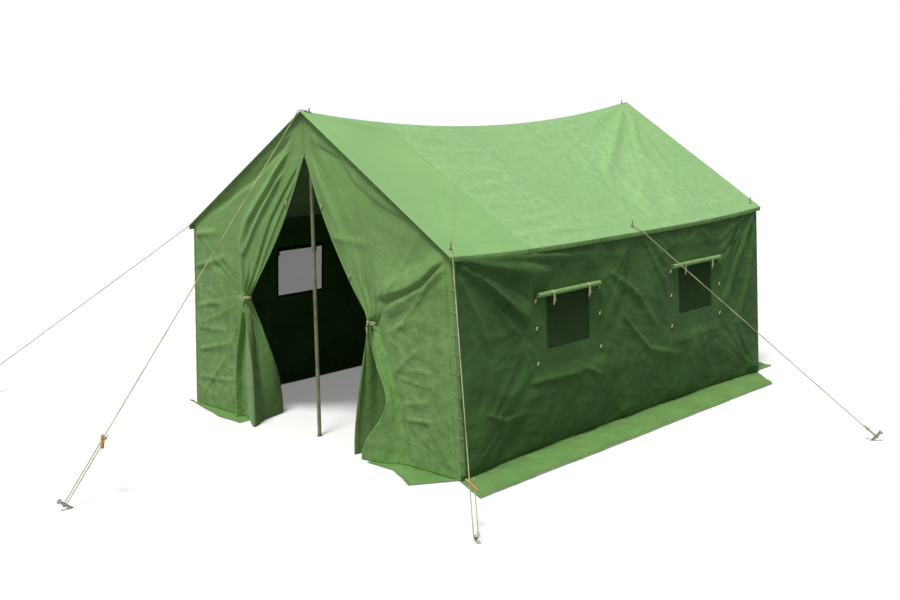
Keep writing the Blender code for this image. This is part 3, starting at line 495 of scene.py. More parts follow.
def make_mesh(name: str, vertices: Array, faces: Array, uv: Array | None = None,
              masks: dict[str, Array] | None = None) -> Piece:
    """Put vertices and faces into a new smooth mesh object.

    Args:
        name: The piece's name.
        vertices: Places, shaped (count, 3).
        faces: Vertex numbers, shaped (count, 3 or 4).
        uv: Cloth coordinates of each vertex, or None.
        masks: Named values of each vertex, for materials.

    Returns:
        The object, linked into the scene.
    """
    mesh = bpy.data.meshes.new(name)
    used = np.unique(faces)
    renumber = np.full(len(vertices), -1)
    renumber[used] = np.arange(len(used))
    faces = renumber[faces]
    corners = faces.shape[1]
    mesh.vertices.add(len(used))
    mesh.vertices.foreach_set("co", vertices[used].astype(np.float32).ravel())
    mesh.loops.add(faces.size)
    mesh.loops.foreach_set("vertex_index", faces.astype(np.int32).ravel())
    mesh.polygons.add(len(faces))
    mesh.polygons.foreach_set("loop_start", np.arange(0, faces.size, corners, dtype=np.int32))
    mesh.update(calc_edges=True)
    if uv is not None:
        layer = mesh.uv_layers.new(name="cloth")
        layer.data.foreach_set("uv", uv[used][faces.ravel()].astype(np.float32).ravel())
    for mask, values in (masks or {}).items():
        attribute = mesh.attributes.new(mask, "FLOAT", "POINT")
        attribute.data.foreach_set("value", values[used].astype(np.float32))
    mesh.validate()
    mesh.shade_smooth()
    made = bpy.data.objects.new(name, mesh)
    bpy.context.scene.collection.objects.link(made)
    return made


def sheet_object(name: str, grid: Grid, outward: Triple, finish: Finish,
                 thickness: float, offset: float = -1.0) -> Piece:
    """A sheet of cloth from a grid, thickened away from its outward side by a Solidify modifier.

    Args:
        name: The piece's name.
        grid: The outer face.
        outward: The way that its outer face looks.
        finish: What it is made of.
        thickness: Of the cloth, in metres.
        offset: -1 keeps the grid as the outer face, and 0 as the middle of the cloth.

    Returns:
        The object.
    """
    faces = grid.cells()
    if not grid.facing(outward):
        faces = faces[:, ::-1]
    uv = None if grid.cloth is None else grid.cloth.reshape(-1, 2)
    masks = {key: value.reshape(-1) for key, value in grid.masks.items()}
    made = make_mesh(name, grid.points.reshape(-1, 3), faces, uv, masks)
    dress(made, finish)
    thicken = made.modifiers.new("cloth thickness", "SOLIDIFY")
    thicken.thickness = thickness
    thicken.offset = offset
    return made


def tube_object(name: str, path: Array, radius: float | Array, finish: Finish,
                sides: int = 10, side: Triple = (0.0, 0.0, 1.0),
                strands: int = 0, lay: float = 0.025, flat: float = 1.0) -> Piece:
    """A tube along a path: a circle carried square to it, with level ends closed by fans of faces.

    The circle's radius may carry strands: radius * (1 + 0.11 cos(strands * (angle - turn of the lay))).

    Args:
        name: The piece's name.
        path: Its middle line, shaped (points, 3).
        radius: One radius, or one for each point of the path.
        finish: What it is made of.
        sides: Corners of the circle.
        side: A direction that the path never follows, which keeps the tube from twisting.
        strands: Strands of a laid rope, or 0 for a plain tube.
        lay: Length of a rope's full twist.
        flat: Height of the section as a share of its width, for tape.

    Returns:
        The object, whose UV map holds metres along and round the tube.
    """
    along = np.gradient(path, axis=0)
    along /= np.linalg.norm(along, axis=1, keepdims=True)
    across = np.cross(np.broadcast_to(np.asarray(side, float), path.shape), along)
    across /= np.linalg.norm(across, axis=1, keepdims=True)
    third = np.cross(along, across)
    angle = np.linspace(0, math.tau, sides, endpoint=False)[None, :]
    run = run_along(path)[:, None]
    size = np.broadcast_to(np.reshape(radius, (-1, 1)), (len(path), 1))
    bulge = 1.0 + (0.11 * np.cos(strands * (angle - math.tau * run / lay)) if strands else 0.0)
    ring = (across[:, None] * (size * bulge * np.cos(angle))[..., None]
            + third[:, None] * (size * flat * bulge * np.sin(angle))[..., None])
    grid = Grid(path[:, None] + ring, closed=True)
    count = len(path) * sides
    here, after = np.arange(sides), (np.arange(sides) + 1) % sides
    caps = [stacked(count, after, here), stacked(count + 1, count - sides + here, count - sides + after)]
    quads = grid.cells()
    faces = np.vstack([quads[:, :3], quads[:, [0, 2, 3]], *caps])
    uv = stacked(run, angle * np.mean(size)).reshape(-1, 2)
    made = make_mesh(name, np.vstack([grid.points.reshape(-1, 3), path[[0, -1]]]), faces,
                     np.vstack([uv, [run[0, 0], 0.0], [run[-1, 0], 0.0]]))
    return dress(made, finish)


def turned_object(name: str, profile: list[Pair], place: Matrix, finish: Finish,
                  sides: int = 32) -> Piece:
    """A turned piece: a closed profile of (radius, height) carried round the vertical, then set at place.

    Args:
        name: The piece's name.
        profile: Points down the outside; the ends lie on the axis, or the profile closes on itself.
        place: Where the piece stands.
        finish: What it is made of.
        sides: Corners of each circle.

    Returns:
        The object, with sharp edges where its profile turns by more than 35 degrees.
    """
    outline = np.array(profile, float)
    on_axis = outline[0, 0] == 0 and outline[-1, 0] == 0
    ring = outline if on_axis else np.vstack([outline, outline[:1]])
    angle = np.linspace(0, math.tau, sides, endpoint=False)
    points = stacked(ring[:, None, 0] * np.cos(angle), ring[:, None, 0] * np.sin(angle), ring[:, None, 1])
    grid = Grid(points, closed=True)
    made = make_mesh(name, points.reshape(-1, 3), grid.cells())
    weld(made)
    made.data.transform(place)
    sharpen(made)
    return dress(made, finish)


def dress(made: Piece, finish: Finish) -> Piece:
    """Give a piece the material of its finish, and the record's slot that this finish belongs to.

    Args:
        made: The piece.
        finish: What it is made of.

    Returns:
        The same piece.
    """
    made.data.materials.append(finish.material())
    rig.slot(made, finish.slot)
    return made


def settle(made: Piece, node: str | None = None, body: str = TENT) -> Piece:
    """Let a piece ride on a body, in the place of a node of the frame where it has one.

    Args:
        made: The piece.
        node: The soft or plain CAD node that it stands for.
        body: The body that it moves with.

    Returns:
        The same piece.
    """
    if node:
        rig.replaces(made, node)
    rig.ride(made, body)
    return made


def sharpen(made: Piece) -> None:
    """Shade a hard piece smooth, but for edges where it turns by more than 35 degrees."""
    made.data.shade_smooth()
    made.data.set_sharp_from_angle(angle=math.radians(35))


def weld(made: Piece) -> None:
    """Merge a mesh's doubles and turn its faces outwards.

    Args:
        made: The piece.
    """
    shape = bmesh.new()
    shape.from_mesh(made.data)
    bmesh.ops.remove_doubles(shape, verts=shape.verts[:], dist=1e-6)
    bmesh.ops.dissolve_degenerate(shape, edges=shape.edges[:], dist=1e-7)
    bmesh.ops.recalc_face_normals(shape, faces=shape.faces[:])
    shape.to_mesh(made.data)
    shape.free()
    made.data.shade_smooth()


# Finishes


def linear(hex_colour: str) -> tuple[float, float, float, float]:
    """Turn an sRGB hex colour into the linear one that a shader takes."""
    values = [int(hex_colour[i:i + 2], 16) / 255 for i in (1, 3, 5)]
    return (*(v / 12.92 if v <= 0.04045 else ((v + 0.055) / 1.055) ** 2.4 for v in values), 1.0)


def add_node(tree: Nodes, kind: str, settings: Settings, output: int | str = 0) -> Socket | None:
    """Add one node.

    Args:
        tree: The material's or world's nodes.
        kind: The node's type, without its ShaderNode prefix.
        settings: Values by a property's name, or by an input's name or number; a socket is joined.
        output: Name or number of the output that is wanted.

    Returns:
        That output, or None for a node without any.
    """
    node = tree.nodes.new("ShaderNode" + kind)
    for key, value in settings.items():
        if isinstance(value, Socket):
            tree.links.new(value, node.inputs[key])
        elif isinstance(key, str) and hasattr(node, key):
            setattr(node, key, value)
        else:
            node.inputs[key].default_value = value
    return node.outputs[output] if node.outputs else None


@dataclass(frozen=True)
class Finish:
    """What every finish has: its colours, its roughness and a fine bump."""

    name: str                   # common name of the real material
    slot: str                   # the record's material slot
    colour: str
    deep: str                   # in its darker patches, and as painted shade in the grooves of tape and the gaps of net
    roughness: float
    metallic: float = 0.0
    patch: float = 0.05         # size of its patches, in metres
    grain: float = 0.001        # size of its finest bumps
    relief: float = 0.0001      # height of its bumps

    @cache
    def material(self) -> bpy.types.Material:
        """The material, made once, when a piece first asks for it.

        Returns:
            The material, with the nodes of its kind of finish.
        """
        made = bpy.data.materials.new(self.name)
        made.use_nodes = True
        shader = made.node_tree.nodes["Principled BSDF"]
        shader.inputs["Metallic"].default_value = self.metallic
        shader.inputs["Roughness"].default_value = self.roughness
        self.surface(made.node_tree, shader)
        return made

    def coat(self, tree: Nodes, shader: bpy.types.Node, layers: list[Layer], bumps: list[Bump],
             worn: tuple[Socket, float, float] | None = None) -> None:
        """Join colours, relief and wear to the shader.

        Args:
            tree: The material's nodes.
            shader: Its Principled shader.
            layers: Colours laid over the main one: a pattern, the values between which the colour comes in,
                how much of it there is at most, and the colour.
            bumps: Reliefs one upon another: a pattern, its strength and its height in metres.
            worn: A pattern, with the roughness at 0.3 and at 0.7 of it.
        """
        smooth = {"interpolation_type": "SMOOTHSTEP"}
        colour = linear(self.colour)
        for pattern, low, high, most, over in layers:
            share = add_node(tree, "MapRange", smooth | {0: pattern, 1: low, 2: high, 4: most})
            colour = add_node(tree, "Mix", {"data_type": "RGBA", 0: share, 6: colour, 7: linear(over)}, 2)
        tree.links.new(colour, shader.inputs["Base Color"])
        under = {}
        for pattern, strength, height in bumps:
            settings = {"Strength": strength, "Distance": height, "Height": pattern}
            under = {"Normal": add_node(tree, "Bump", settings | under)}
        tree.links.new(under["Normal"], shader.inputs["Normal"])
        if worn:
            rough = add_node(tree, "MapRange", smooth | {0: worn[0], 1: 0.3, 2: 0.7, 3: worn[1], 4: worn[2]})
            tree.links.new(rough, shader.inputs["Roughness"])

    def surface(self, tree: Nodes, shader: bpy.types.Node) -> None:
        """The plain form of the finish, for hard parts: patches, grain and worn roughness.

        Args:
            tree: The material's nodes.
            shader: Its Principled shader.
        """
        place = add_node(tree, "TexCoord", {}, "Object")
        patches, fine = (add_node(tree, "TexNoise", {"Scale": 1 / size, "Detail": detail, "Vector": place})
                         for size, detail in ((self.patch, 4.0), (self.grain, 2.0)))
        self.coat(tree, shader, [(patches, 0.35, 0.65, 1.0, self.deep)], [(fine, 1.0, self.relief)],
                  (patches, self.roughness * 0.85, min(1.0, self.roughness * 1.2)))


@dataclass(frozen=True)
class CanvasFinish(Finish):
    """Waxed cotton canvas: a dull plain weave, sun-faded in broad patches and soiled near the ground; some pieces take
    painted shade.

    Real duck has a thread each 0.6 mm, too fine for the picture, so it is drawn four times as coarse.
    """

    soil: str = "#6A6B45"       # where it is splashed or faded, and on the sod cloth, painted shade where the wall shades it
    seam: str = "#5E7A48"       # where it is doubled, along a seam or hem
    thread: float = 0.0024
    sheen: float = 0.12         # pale edge that the nap gives

    def surface(self, tree: Nodes, shader: bpy.types.Node) -> None:
        """Canvas on the cloth's own coordinates, in metres: patches, mottle, slubs, seams, soiling, fading and painted
        shade.

        Args:
            tree: The material's nodes.
            shader: Its Principled shader.
        """
        cloth = add_node(tree, "UVMap", {"uv_map": "cloth"})
        spots = ((self.patch, 5.0, 0.55), (0.06, 4.0, 0.5), (1 / 14, 8.0, 0.7), (0.045, 3.0, 0.5))
        mapped = {"Vector": cloth}
        broad, mottle, blotch, pucker = (
            add_node(tree, "TexNoise", mapped | {"Scale": 1 / size, "Detail": detail, "Roughness": rough})
            for size, detail, rough in spots)
        ridged = {"noise_type": "RIDGED_MULTIFRACTAL", "Scale": 1 / 0.30, "Detail": 2.0, "Roughness": 0.35}
        creases = add_node(tree, "TexNoise", mapped | ridged | {"Distortion": 0.4})
        streaks, threads = [], []
        for way, turn, length in (("X", 0.0, 0.16), ("Y", math.pi / 2, 0.11)):
            drawn = {"Rotation": (0, 0, turn), "Scale": (1 / length, 1 / 0.004, 1.0), "Vector": cloth}
            turned = add_node(tree, "Mapping", drawn)
            streaks.append(add_node(tree, "TexNoise", {"Scale": 1.0, "Detail": 2.0, "Vector": turned}))
            wave = {"bands_direction": way, "Scale": 0.05 * math.tau / self.thread, "Distortion": 0.6}
            threads.append(add_node(tree, "TexWave", mapped | wave | {"Detail": 1.0}, 1))
        slubs = add_node(tree, "Math", {"operation": "MULTIPLY", 0: streaks[0], 1: streaks[1]})
        weave = add_node(tree, "Math", {"operation": "ADD", 0: threads[0], 1: threads[1]})
        seam = add_node(tree, "Attribute", {"attribute_name": "seam"}, "Fac")
        soil = add_node(tree, "Attribute", {"attribute_name": "soil"}, "Fac")
        layers = [(broad, 0.34, 0.68, 0.80, self.deep), (mottle, 0.40, 0.72, 0.35, self.deep),
                  (slubs, 0.20, 0.34, 0.30, self.deep), (seam, 0.0, 1.0, 0.75, self.seam),
                  (blotch, 0.35, 0.75, soil, self.soil)]
        bumps = [(creases, 0.8, self.relief), (pucker, 0.7, self.relief * 0.5), (weave, 0.5, 0.0003),
                 (slubs, 0.6, 0.0006)]
        self.coat(tree, shader, layers, bumps, (broad, self.roughness - 0.05, self.roughness + 0.06))
        shader.inputs["Sheen Weight"].default_value = self.sheen
        shader.inputs["Sheen Roughness"].default_value = 0.5
        shader.inputs["Specular IOR Level"].default_value = 0.25


@dataclass(frozen=True)
class NetFinish(Finish):
    """Insect net of dyed cotton, which lets part of the light through.

    Real net has a thread each 1.6 mm, drawn here at 7 mm so that it shows.
    """

    mesh: float = 0.007
    cover: float = 0.72         # how much of the light the net stops

    def surface(self, tree: Nodes, shader: bpy.types.Node) -> None:
        """Crossed threads on the cloth's own coordinates, with painted shade in the gaps between them.

        Args:
            tree: The material's nodes.
            shader: Its Principled shader.
        """
        cloth = add_node(tree, "UVMap", {"uv_map": "cloth"})
        wave = {"Scale": 0.05 * math.tau / self.mesh, "Distortion": 0.3, "Vector": cloth}
        lines = [add_node(tree, "TexWave", wave | {"bands_direction": way}, 1) for way in ("X", "Y")]
        threads = add_node(tree, "Math", {"operation": "MAXIMUM", 0: lines[0], 1: lines[1]})
        between = add_node(tree, "Math", {"operation": "SUBTRACT", 0: 1.0, 1: threads})
        # The gaps between threads take the deep colour: painted shade of the dark inside behind the net.
        self.coat(tree, shader, [(between, 0.02, 0.25, 1.0, self.deep)], [(threads, 0.6, 0.0008)])
        shader.inputs["Specular IOR Level"].default_value = 0.05
        shader.inputs["Alpha"].default_value = self.cover


@dataclass(frozen=True)
class TwillTapeFinish(Finish):
    """Cotton webbing, laid rope and sewn cord: close ribs along the UV map's length."""

    def surface(self, tree: Nodes, shader: bpy.types.Node) -> None:
        """Ribs across the piece's length, with painted shade in the grooves between them.

        Args:
            tree: The material's nodes.
            shader: Its Principled shader.
        """
        cloth = add_node(tree, "UVMap", {"uv_map": "cloth"})
        place = add_node(tree, "TexCoord", {}, "Object")
        wave = {"bands_direction": "DIAGONAL", "Scale": 0.05 * math.tau / self.grain, "Distortion": 1.2}
        ribs = add_node(tree, "TexWave", wave | {"Detail": 1.0, "Vector": cloth}, 1)
        grooves = add_node(tree, "Math", {"operation": "SUBTRACT", 0: 1.0, 1: ribs})
        broad = add_node(tree, "TexNoise", {"Scale": 1 / self.patch, "Detail": 4.0, "Vector": place})
        # The grooves take the deep colour: painted shade between the ribs.
        layers = [(broad, 0.38, 0.66, 0.80, self.deep), (grooves, 0.65, 1.0, 0.55, self.deep)]
        self.coat(tree, shader, layers, [(ribs, 0.8, self.relief)])
        shader.inputs["Sheen Weight"].default_value = 0.15


@dataclass(frozen=True)
class HardwoodFinish(Finish):
    """Oiled beech: long grain on the UV map, with short dark flecks."""

    def surface(self, tree: Nodes, shader: bpy.types.Node) -> None:
        """Grain along the first cloth coordinate.

        Args:
            tree: The material's nodes.
            shader: Its Principled shader.
        """
        along = add_node(tree, "UVMap", {"uv_map": "cloth"})
        marks = []
        for scale, detail, bent in (((14.0, 420.0, 1.0), 6.0, 0.5), ((220.0, 1600.0, 1.0), 1.0, 0.0)):
            drawn = add_node(tree, "Mapping", {"Scale": scale, "Vector": along})
            settings = {"Scale": 1.0, "Detail": detail, "Distortion": bent, "Vector": drawn}
            marks.append(add_node(tree, "TexNoise", settings))
        grain, flecks = marks
        layers = [(grain, 0.35, 0.65, 1.0, self.deep), (flecks, 0.66, 0.74, 0.6, "#6B4420")]
        self.coat(tree, shader, layers, [(grain, 0.5, self.relief)], (grain, 0.42, 0.58))


# Waxed cotton duck under full sun: pale sage where the light bleaches it, greener in random darker patches.
ROOF_CANVAS = CanvasFinish("roof_cotton_duck", "sunlit_canvas", "#91BE76", "#88B573", 0.86,
                           patch=0.80, seam="#7DAC72", soil="#A3CB95", relief=0.003)
# The same duck on the walls, painted a deeper green: painted shade, because the walls get little of the sun.
SHADED_WALL_CANVAS = CanvasFinish("wall_cotton_duck", "wall_canvas", "#466F36", "#385B2A", 0.88,
                           patch=0.35, seam="#304D24", soil="#2F4C24", relief=0.012, sheen=0.04)
# The front faces the light less than the roof: the same duck, painted a little darker and stronger in colour as shade.
FRONT_CANVAS = CanvasFinish("front_cotton_duck", "sunlit_canvas", "#89B46B", "#769F59", 0.87,
                            patch=0.40, seam="#5F8544", soil="#608741", relief=0.009)
# The flaps' reverse shows when they are rolled: the same duck, paler for never having faced the sun.
FLAP_CANVAS = CanvasFinish("flap_reverse_duck", "wall_canvas", "#8AB06C", "#769A59", 0.88,
                           patch=0.20, seam="#6F8F58", relief=0.003)
# Heavier sod cloth that lies on the ground, with painted shade towards its seam, where the wall's foot shades it.
SOD_CLOTH = CanvasFinish("sod_cloth_duck", "ground_canvas", "#739F53", "#638C46", 0.90,
                         patch=0.25, seam="#557F40", soil="#4A6F36", relief=0.008)
# Dyed cotton net, dull and dark against the light, with painted shade in the gaps between its threads.
WINDOW_NET = NetFinish("insect_net_cotton", "window_net", "#4A6640", "#22331C", 0.95, cover=0.88)
# The same net, with the same painted shade in its gaps, on the left wall, drawn more open, because the light behind it
# shows every mesh.
BACKLIT_NET = NetFinish("insect_net_cotton_backlit", "window_net", "#4A6640", "#22331C", 0.95, cover=0.60)
# Cotton webbing, bleached by the sun to a greenish cream.
TIE_WEBBING = TwillTapeFinish("cotton_twill_tape", "tape", "#C9D3A0", "#93A06C", 0.85,
                              patch=0.08, grain=0.0035, relief=0.0005)
# Three-strand cotton line, darker where it is handled.
COTTON_LINE = TwillTapeFinish("three_strand_cotton_line", "rope", "#C6C69C", "#8E8D66", 0.90,
                              patch=0.12, grain=0.004, relief=0.0004)
# Steel tube under olive enamel, chipped and dusty, which gives a soft broken gloss.
POLE_ENAMEL = Finish("olive_enamelled_steel", "painted_steel", "#7B8260", "#5F6648", 0.48,
                     patch=0.09, grain=0.002, relief=0.00012)
# Hot-dipped zinc: large dull spangles with dirt between them.
PEG_ZINC = Finish("hot_dipped_zinc_steel", "zinc_steel", "#A9ABA8", "#7F827E", 0.42, metallic=1.0,
                  patch=0.012, grain=0.0015, relief=0.0001)
# Rolled brass, browned except where the line rubs it.
EYELET_BRASS = Finish("tarnished_brass", "brass", "#B08D4A", "#6E5528", 0.38, metallic=1.0,
                      patch=0.01, grain=0.001, relief=0.00005)
# Oiled beech: long open grain with dark flecks and a low gloss.
RUNNER_BEECH = HardwoodFinish("oiled_beech", "wood", "#CDA35C", "#AE7F3C", 0.50, grain=0.002, relief=0.0002)
# Turned hardwood toggles, greyed and pale.
TOGGLE_WOOD = Finish("weathered_beech", "wood", "#DAD4AE", "#B5AC80", 0.62,
                     patch=0.006, grain=0.0012, relief=0.00015)


# The stretched cloth


@dataclass(frozen=True)
class TentShape:
    """Where the stretched cloth lies, in the same sizes as the frame."""

    half_width: float = 1.5         # from the middle to a side wall's top
    half_length: float = 2.1        # from the middle to a gable
    eave: float = 1.60              # height of the roof's edge at a corner
    ridge: float = 2.55             # height of the ridge at a gable
    ridge_sag: float = 0.170        # how far the ridge hangs down between its poles
    eave_sag: float = 0.045         # the same for the eaves
    slope_sag: float = 0.020        # hollow of each slope
    overhang: float = 0.030         # of the roof past the walls
    lip: float = 0.035              # depth of the turned-down edge
    splay: float = 0.090            # how far a side wall's foot stands out
    bow: float = 0.070              # how far that foot is drawn in between the corners
    bow_height: float = 0.550       # the wall is straight above this
    cloth: float = 0.0020           # thickness of the canvas
    under_roof: float = 0.0032      # from the roof's upper face down to a gable's edge
    wall_drop: float = 0.002767     # the same down to a side wall's top edge
    foot: float = 0.0029            # height of the walls' foot
    gable_top: float = 2.528        # height of a gable's highest row of points
    seams: tuple[float, ...] = (-1.285, -0.405, 0.475, 1.420)   # between the roof's panels

    def roof_height(self, x: Array, y: Array) -> Array:
        """Height of the smooth roof: a ridge and eaves that sag as parabolas, with slopes hollowed between.

        Args:
            x: Across the tent.
            y: Along the tent.

        Returns:
            Heights.
        """
        along = np.clip(np.abs(y) / self.half_length, 0, 1)
        ridge = self.ridge - self.ridge_sag * (1 - along ** 2)
        eave = self.eave - self.eave_sag * (1 - along ** 3)
        across = np.abs(x) / self.half_width
        inside = np.clip(across, 0, 1)
        return ridge + (eave - ridge) * across - 4 * self.slope_sag * inside * (1 - inside) * (1 - along ** 2)

    def pole_tops(self) -> list[Triple]:
        """x, y and tube radius of each pole: two ridge poles, then the right and left side poles."""
        sides = [(side * 1.465, y, 0.0125) for side in Side for y in (-2.05, 0.12, 2.05)]
        return [(0.0, -2.04, 0.015), (0.0, 2.04, 0.015)] + sides

    def slope_folds(self, a: Array, y: Array, seed: int) -> Array:
        """Folds of one roof slope: fans from the poles, long creases, and puckers along the seams.

        Args:
            a: Distance from the ridge, level.
            y: Along the tent.
            seed: Which folds.

        Returns:
            How far the cloth stands above the smooth roof.
        """
        lift = fans(a, y, seed, ROOF_FANS) + fold_lines(a, y, ROOF_FOLDS)
        for low, high, depth, cell in ((-1.30, -0.40, 0.0160, 0.110), (-0.40, 0.48, 0.0075, 0.120),
                                       (-2.10, -1.30, 0.0015, 0.150), (0.48, 1.42, 0.0030, 0.150)):
            band = ramp(y, low, low + 0.08) * ramp(y, high, high - 0.16) * ramp(a, 0.10, 0.28)
            lift += depth * band * crumple(a, y * 0.13 + a * 0.03, cell, seed + 20, 3.5)
        for seam in self.seams:
            past = y - seam
            wave = np.sin(math.tau * (a / 0.060 + 0.6 * noise(a, y, 0.3, seed + 28)))
            lift += 0.0012 * np.exp(-(past / 0.035) ** 2) * wave + 0.0018 * np.exp(-(past / 0.010) ** 2)
        lift += 0.0030 * noise(a, y * 0.5, 0.26, seed + 40, 2)
        edge = ramp(a, 1.50, 1.38) * ramp(np.abs(y), 2.10, 1.99)
        return lift * edge * ramp(a, 0.0, 0.07)

    def roof_surface(self, x: Array, y: Array) -> Array:
        """Height of the folded roof, calm round each pole's eyelet.

        Args:
            x: Across the tent.
            y: Along the tent.

        Returns:
            Heights of the upper face.
        """
        x, y = np.broadcast_arrays(np.asarray(x, float), np.asarray(y, float))
        folds = np.where(x >= 0, self.slope_folds(np.abs(x), y, 11), self.slope_folds(np.abs(x), y, 57))
        for pole_x, pole_y, _ in self.pole_tops():
            folds = folds * ramp(np.hypot(x - pole_x, y - pole_y), 0.03, 0.16)
        return self.roof_height(x, y) + folds

    def wall_x(self, z: Array | float) -> Array | float:
        """Distance of a side wall's outer face from the middle."""
        return self.half_width + self.splay * (1 - z / self.eave)

    def foot_bow(self, y: Array, z: Array | float) -> Array:
        """How far a side wall is drawn in near the ground, most of all midway between the corners."""
        along = np.clip(np.abs(y) / (self.half_length - 0.02), 0, 1)
        return self.bow * (1 - along ** 4) * np.clip(1 - np.asarray(z) / self.bow_height, 0, 1) ** 1.5

    def gable_edge(self, z: Array) -> Array:
        """How far a gable reaches at a height: to the roof's underside, or to the side wall's inner face."""
        under_roof = self.half_width * (self.ridge - z - self.under_roof) / (self.ridge - self.eave)
        return np.minimum(under_roof, self.wall_x(z) - self.cloth - 0.0004)

    def off_wall(self, side: Side, y: Array, z: Array, off: Array) -> Array:
        """Points off a side wall's outer face, measured square to it.

        Args:
            side: Which wall.
            y: Along the wall.
            z: Height of the place on the wall's face.
            off: Distance from that face.

        Returns:
            Points, with one more axis than y and z.
        """
        lean = math.atan2(self.splay, self.eave)
        return stacked(side * (self.wall_x(z) + off * math.cos(lean)), y, z + off * math.sin(lean))

    def on_wall(self, side: Side, y: float, z: float, off: float) -> Vector:
        """One point off a side wall's outer face."""
        return Vector(self.off_wall(side, y, z, off))


SHAPE = TentShape()
FRONT_PEAK, REAR_PEAK = (0.0, -2.04), (0.0, 2.04)
EAVE_POLES = ((1.465, -2.05), (1.465, 2.05), (1.465, 0.12))
ROOF_FANS = ((0.008, FRONT_PEAK, 80, 12, 60, 1.10, 0), (0.005, FRONT_PEAK, 40, 26, 26, 0.70, 6),
             (0.022, REAR_PEAK, -46, 26, 26, 1.05, 1), (0.009, REAR_PEAK, -82, 12, 40, 1.10, 7),
             (0.012, EAVE_POLES[0], 118, 30, 30, 0.50, 2), (0.014, EAVE_POLES[1], -128, 30, 30, 0.50, 3),
             (0.012, EAVE_POLES[2], 112, 34, 30, 0.45, 4), (0.010, EAVE_POLES[2], -112, 34, 30, 0.40, 5))
# Across from the ridge and along the tent: two lines from the front peak, and the drag from the rear one.
ROOF_FOLDS = ((((0.01, -2.02), (0.14, -1.30), (0.33, -0.30)), 0.030, 0.018, 0.018),
              (((0.0, -2.0), (0.10, -1.10), (0.17, -0.60)), 0.026, 0.018, 0.012),
              (((0.03, 2.03), (0.27, 1.61), (0.77, 0.73), (1.05, 0.40)), 0.070, 0.034, 0.036),
              (((0.05, 2.02), (0.21, 1.92), (0.50, 1.57), (0.90, 1.25)), 0.050, 0.030, 0.028),
              (((0.03, 2.00), (0.12, 1.50), (0.30, 0.85)), 0.040, 0.030, 0.016),
              (((0.10, 1.98), (0.75, 1.62), (1.30, 1.35)), 0.060, 0.050, 0.016),
              (((0.48, 1.02), (0.95, 0.78), (1.38, 0.66)), 0.070, 0.045, 0.018),
              (((0.40, 0.75), (0.90, 0.45), (1.38, 0.25)), 0.060, 0.045, 0.012))


@dataclass
class Roof:
    """The roof: one sheet over both slopes, with a turned-down lip along each eave."""

    shape: TentShape = SHAPE
    hem: float = 0.085          # of doubled cloth along each edge
    stitched: float = 0.012     # between the hem's two rows of stitches
    step: float = 0.0205        # of the grid, which keeps the sheet under 200,000 triangles
    panel_fading: tuple[float, ...] = (0.0, 0.75, 0.55, 0.90, 0.60)

    def build(self) -> None:
        """Work out the sheet on a grid whose lines follow the seams and hems.

        Formula: height = smooth roof + folds - lip's drop, where the lip hangs straight down at its edge.
        """
        shape = self.shape
        reach = shape.half_width + shape.overhang
        fine, hems = (-0.004, 0.0, 0.004), (self.hem, self.hem - self.stitched)
        marks = around([shape.half_width - edge for edge in (*hems, 0.0)], fine)
        half = graded([0.0, 0.004, 0.02] + marks + [reach - 0.008, reach], self.step)
        drop = np.concatenate([np.zeros(len(half)), np.array([0.004, 0.012, 0.022, 0.035])])
        half = np.concatenate([half, reach + np.array([0.0, 0.001, -0.001, 0.0005])])
        x = np.concatenate([-half[:0:-1], half])
        lip = np.concatenate([drop[:0:-1], drop])
        ends = shape.half_length + shape.overhang
        rows = [-ends, -ends + 0.006, ends - 0.006, ends]
        rows += around(shape.seams, (-0.016, -0.011, -0.006, 0.0, 0.006, 0.011, 0.016))
        rows += around([way * (shape.half_length - edge) for way in (1, -1) for edge in hems], fine)
        y = graded(rows, self.step)
        grid_x, grid_y = np.meshgrid(x, y)
        z = shape.roof_surface(grid_x, grid_y) - lip[None, :]
        ripple = 0.004 * noise(grid_y, grid_x * 0 + 3.0, 0.16, 5, 2) * (lip[None, :] / shape.lip)
        grid_x = grid_x + np.sign(grid_x) * ripple
        run = np.hypot(np.diff(x), np.diff(shape.roof_height(x, 0 * x + 2.1) - lip))
        cloth_x = np.concatenate([[0], np.cumsum(run)])
        cloth = stacked(cloth_x[None, :] - cloth_x[-1] / 2, y[:, None])
        edge_lines = tuple(shape.half_width - edge for edge in hems)
        seam_mask = np.maximum(bands(grid_y, shape.seams, 0.022), bands(np.abs(grid_x), edge_lines, 0.006))
        seam_mask = np.maximum(seam_mask, bands(np.abs(grid_y), (2.015, 2.027), 0.006))
        faded = np.array(self.panel_fading)[np.digitize(grid_y, shape.seams)]
        grid = Grid(stacked(grid_x, grid_y, z), cloth, {"seam": seam_mask, "soil": faded})
        made = sheet_object("roof_canvas", grid, (0, 0, 1), ROOF_CANVAS, shape.cloth)
        # The turned-down lip takes the front's slightly darker copy of the duck: painted shade, because the lip faces
        # the light less.
        made.data.materials.append(FRONT_CANVAS.material())
        lips = np.broadcast_to((lip[1:] + lip[:-1]) > 0, (len(y) - 1, len(x) - 1))
        made.data.polygons.foreach_set("material_index", lips.astype(np.int32).ravel())
        settle(made, "roof")
        width = float(cloth_x[-1])
        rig.sheet(made, flat=(width, 2 * ends * 1.005), held="stretched", rests_on=["ridge_pole_front_upper"])
        log.info("roof canvas: %.2f by %.2f m", width, 2 * ends)


def tape(name: str, start: Array, sign: int, steps: tuple[Triple, ...], half_width: float, side: Triple,
         flat: float, spacing: float) -> Piece:
    """A loose length of webbing: a smooth curve through steps from its start.

    Args:
        name: The piece's name.
        start: Where the steps are measured from.
        sign: 1, or -1 to turn the steps over in x.
        steps: Places along it.
        half_width: Of the webbing.
        side: Direction that its length never follows.
        flat: Its thickness as a share of its width.
        spacing: Of the points along it.

    Returns:
        The piece.
    """
    path = even_path(start + np.array(steps) * [sign, 1, 1], spacing)
    return tube_object(name, path, half_width, TIE_WEBBING, 10, side, flat=flat)


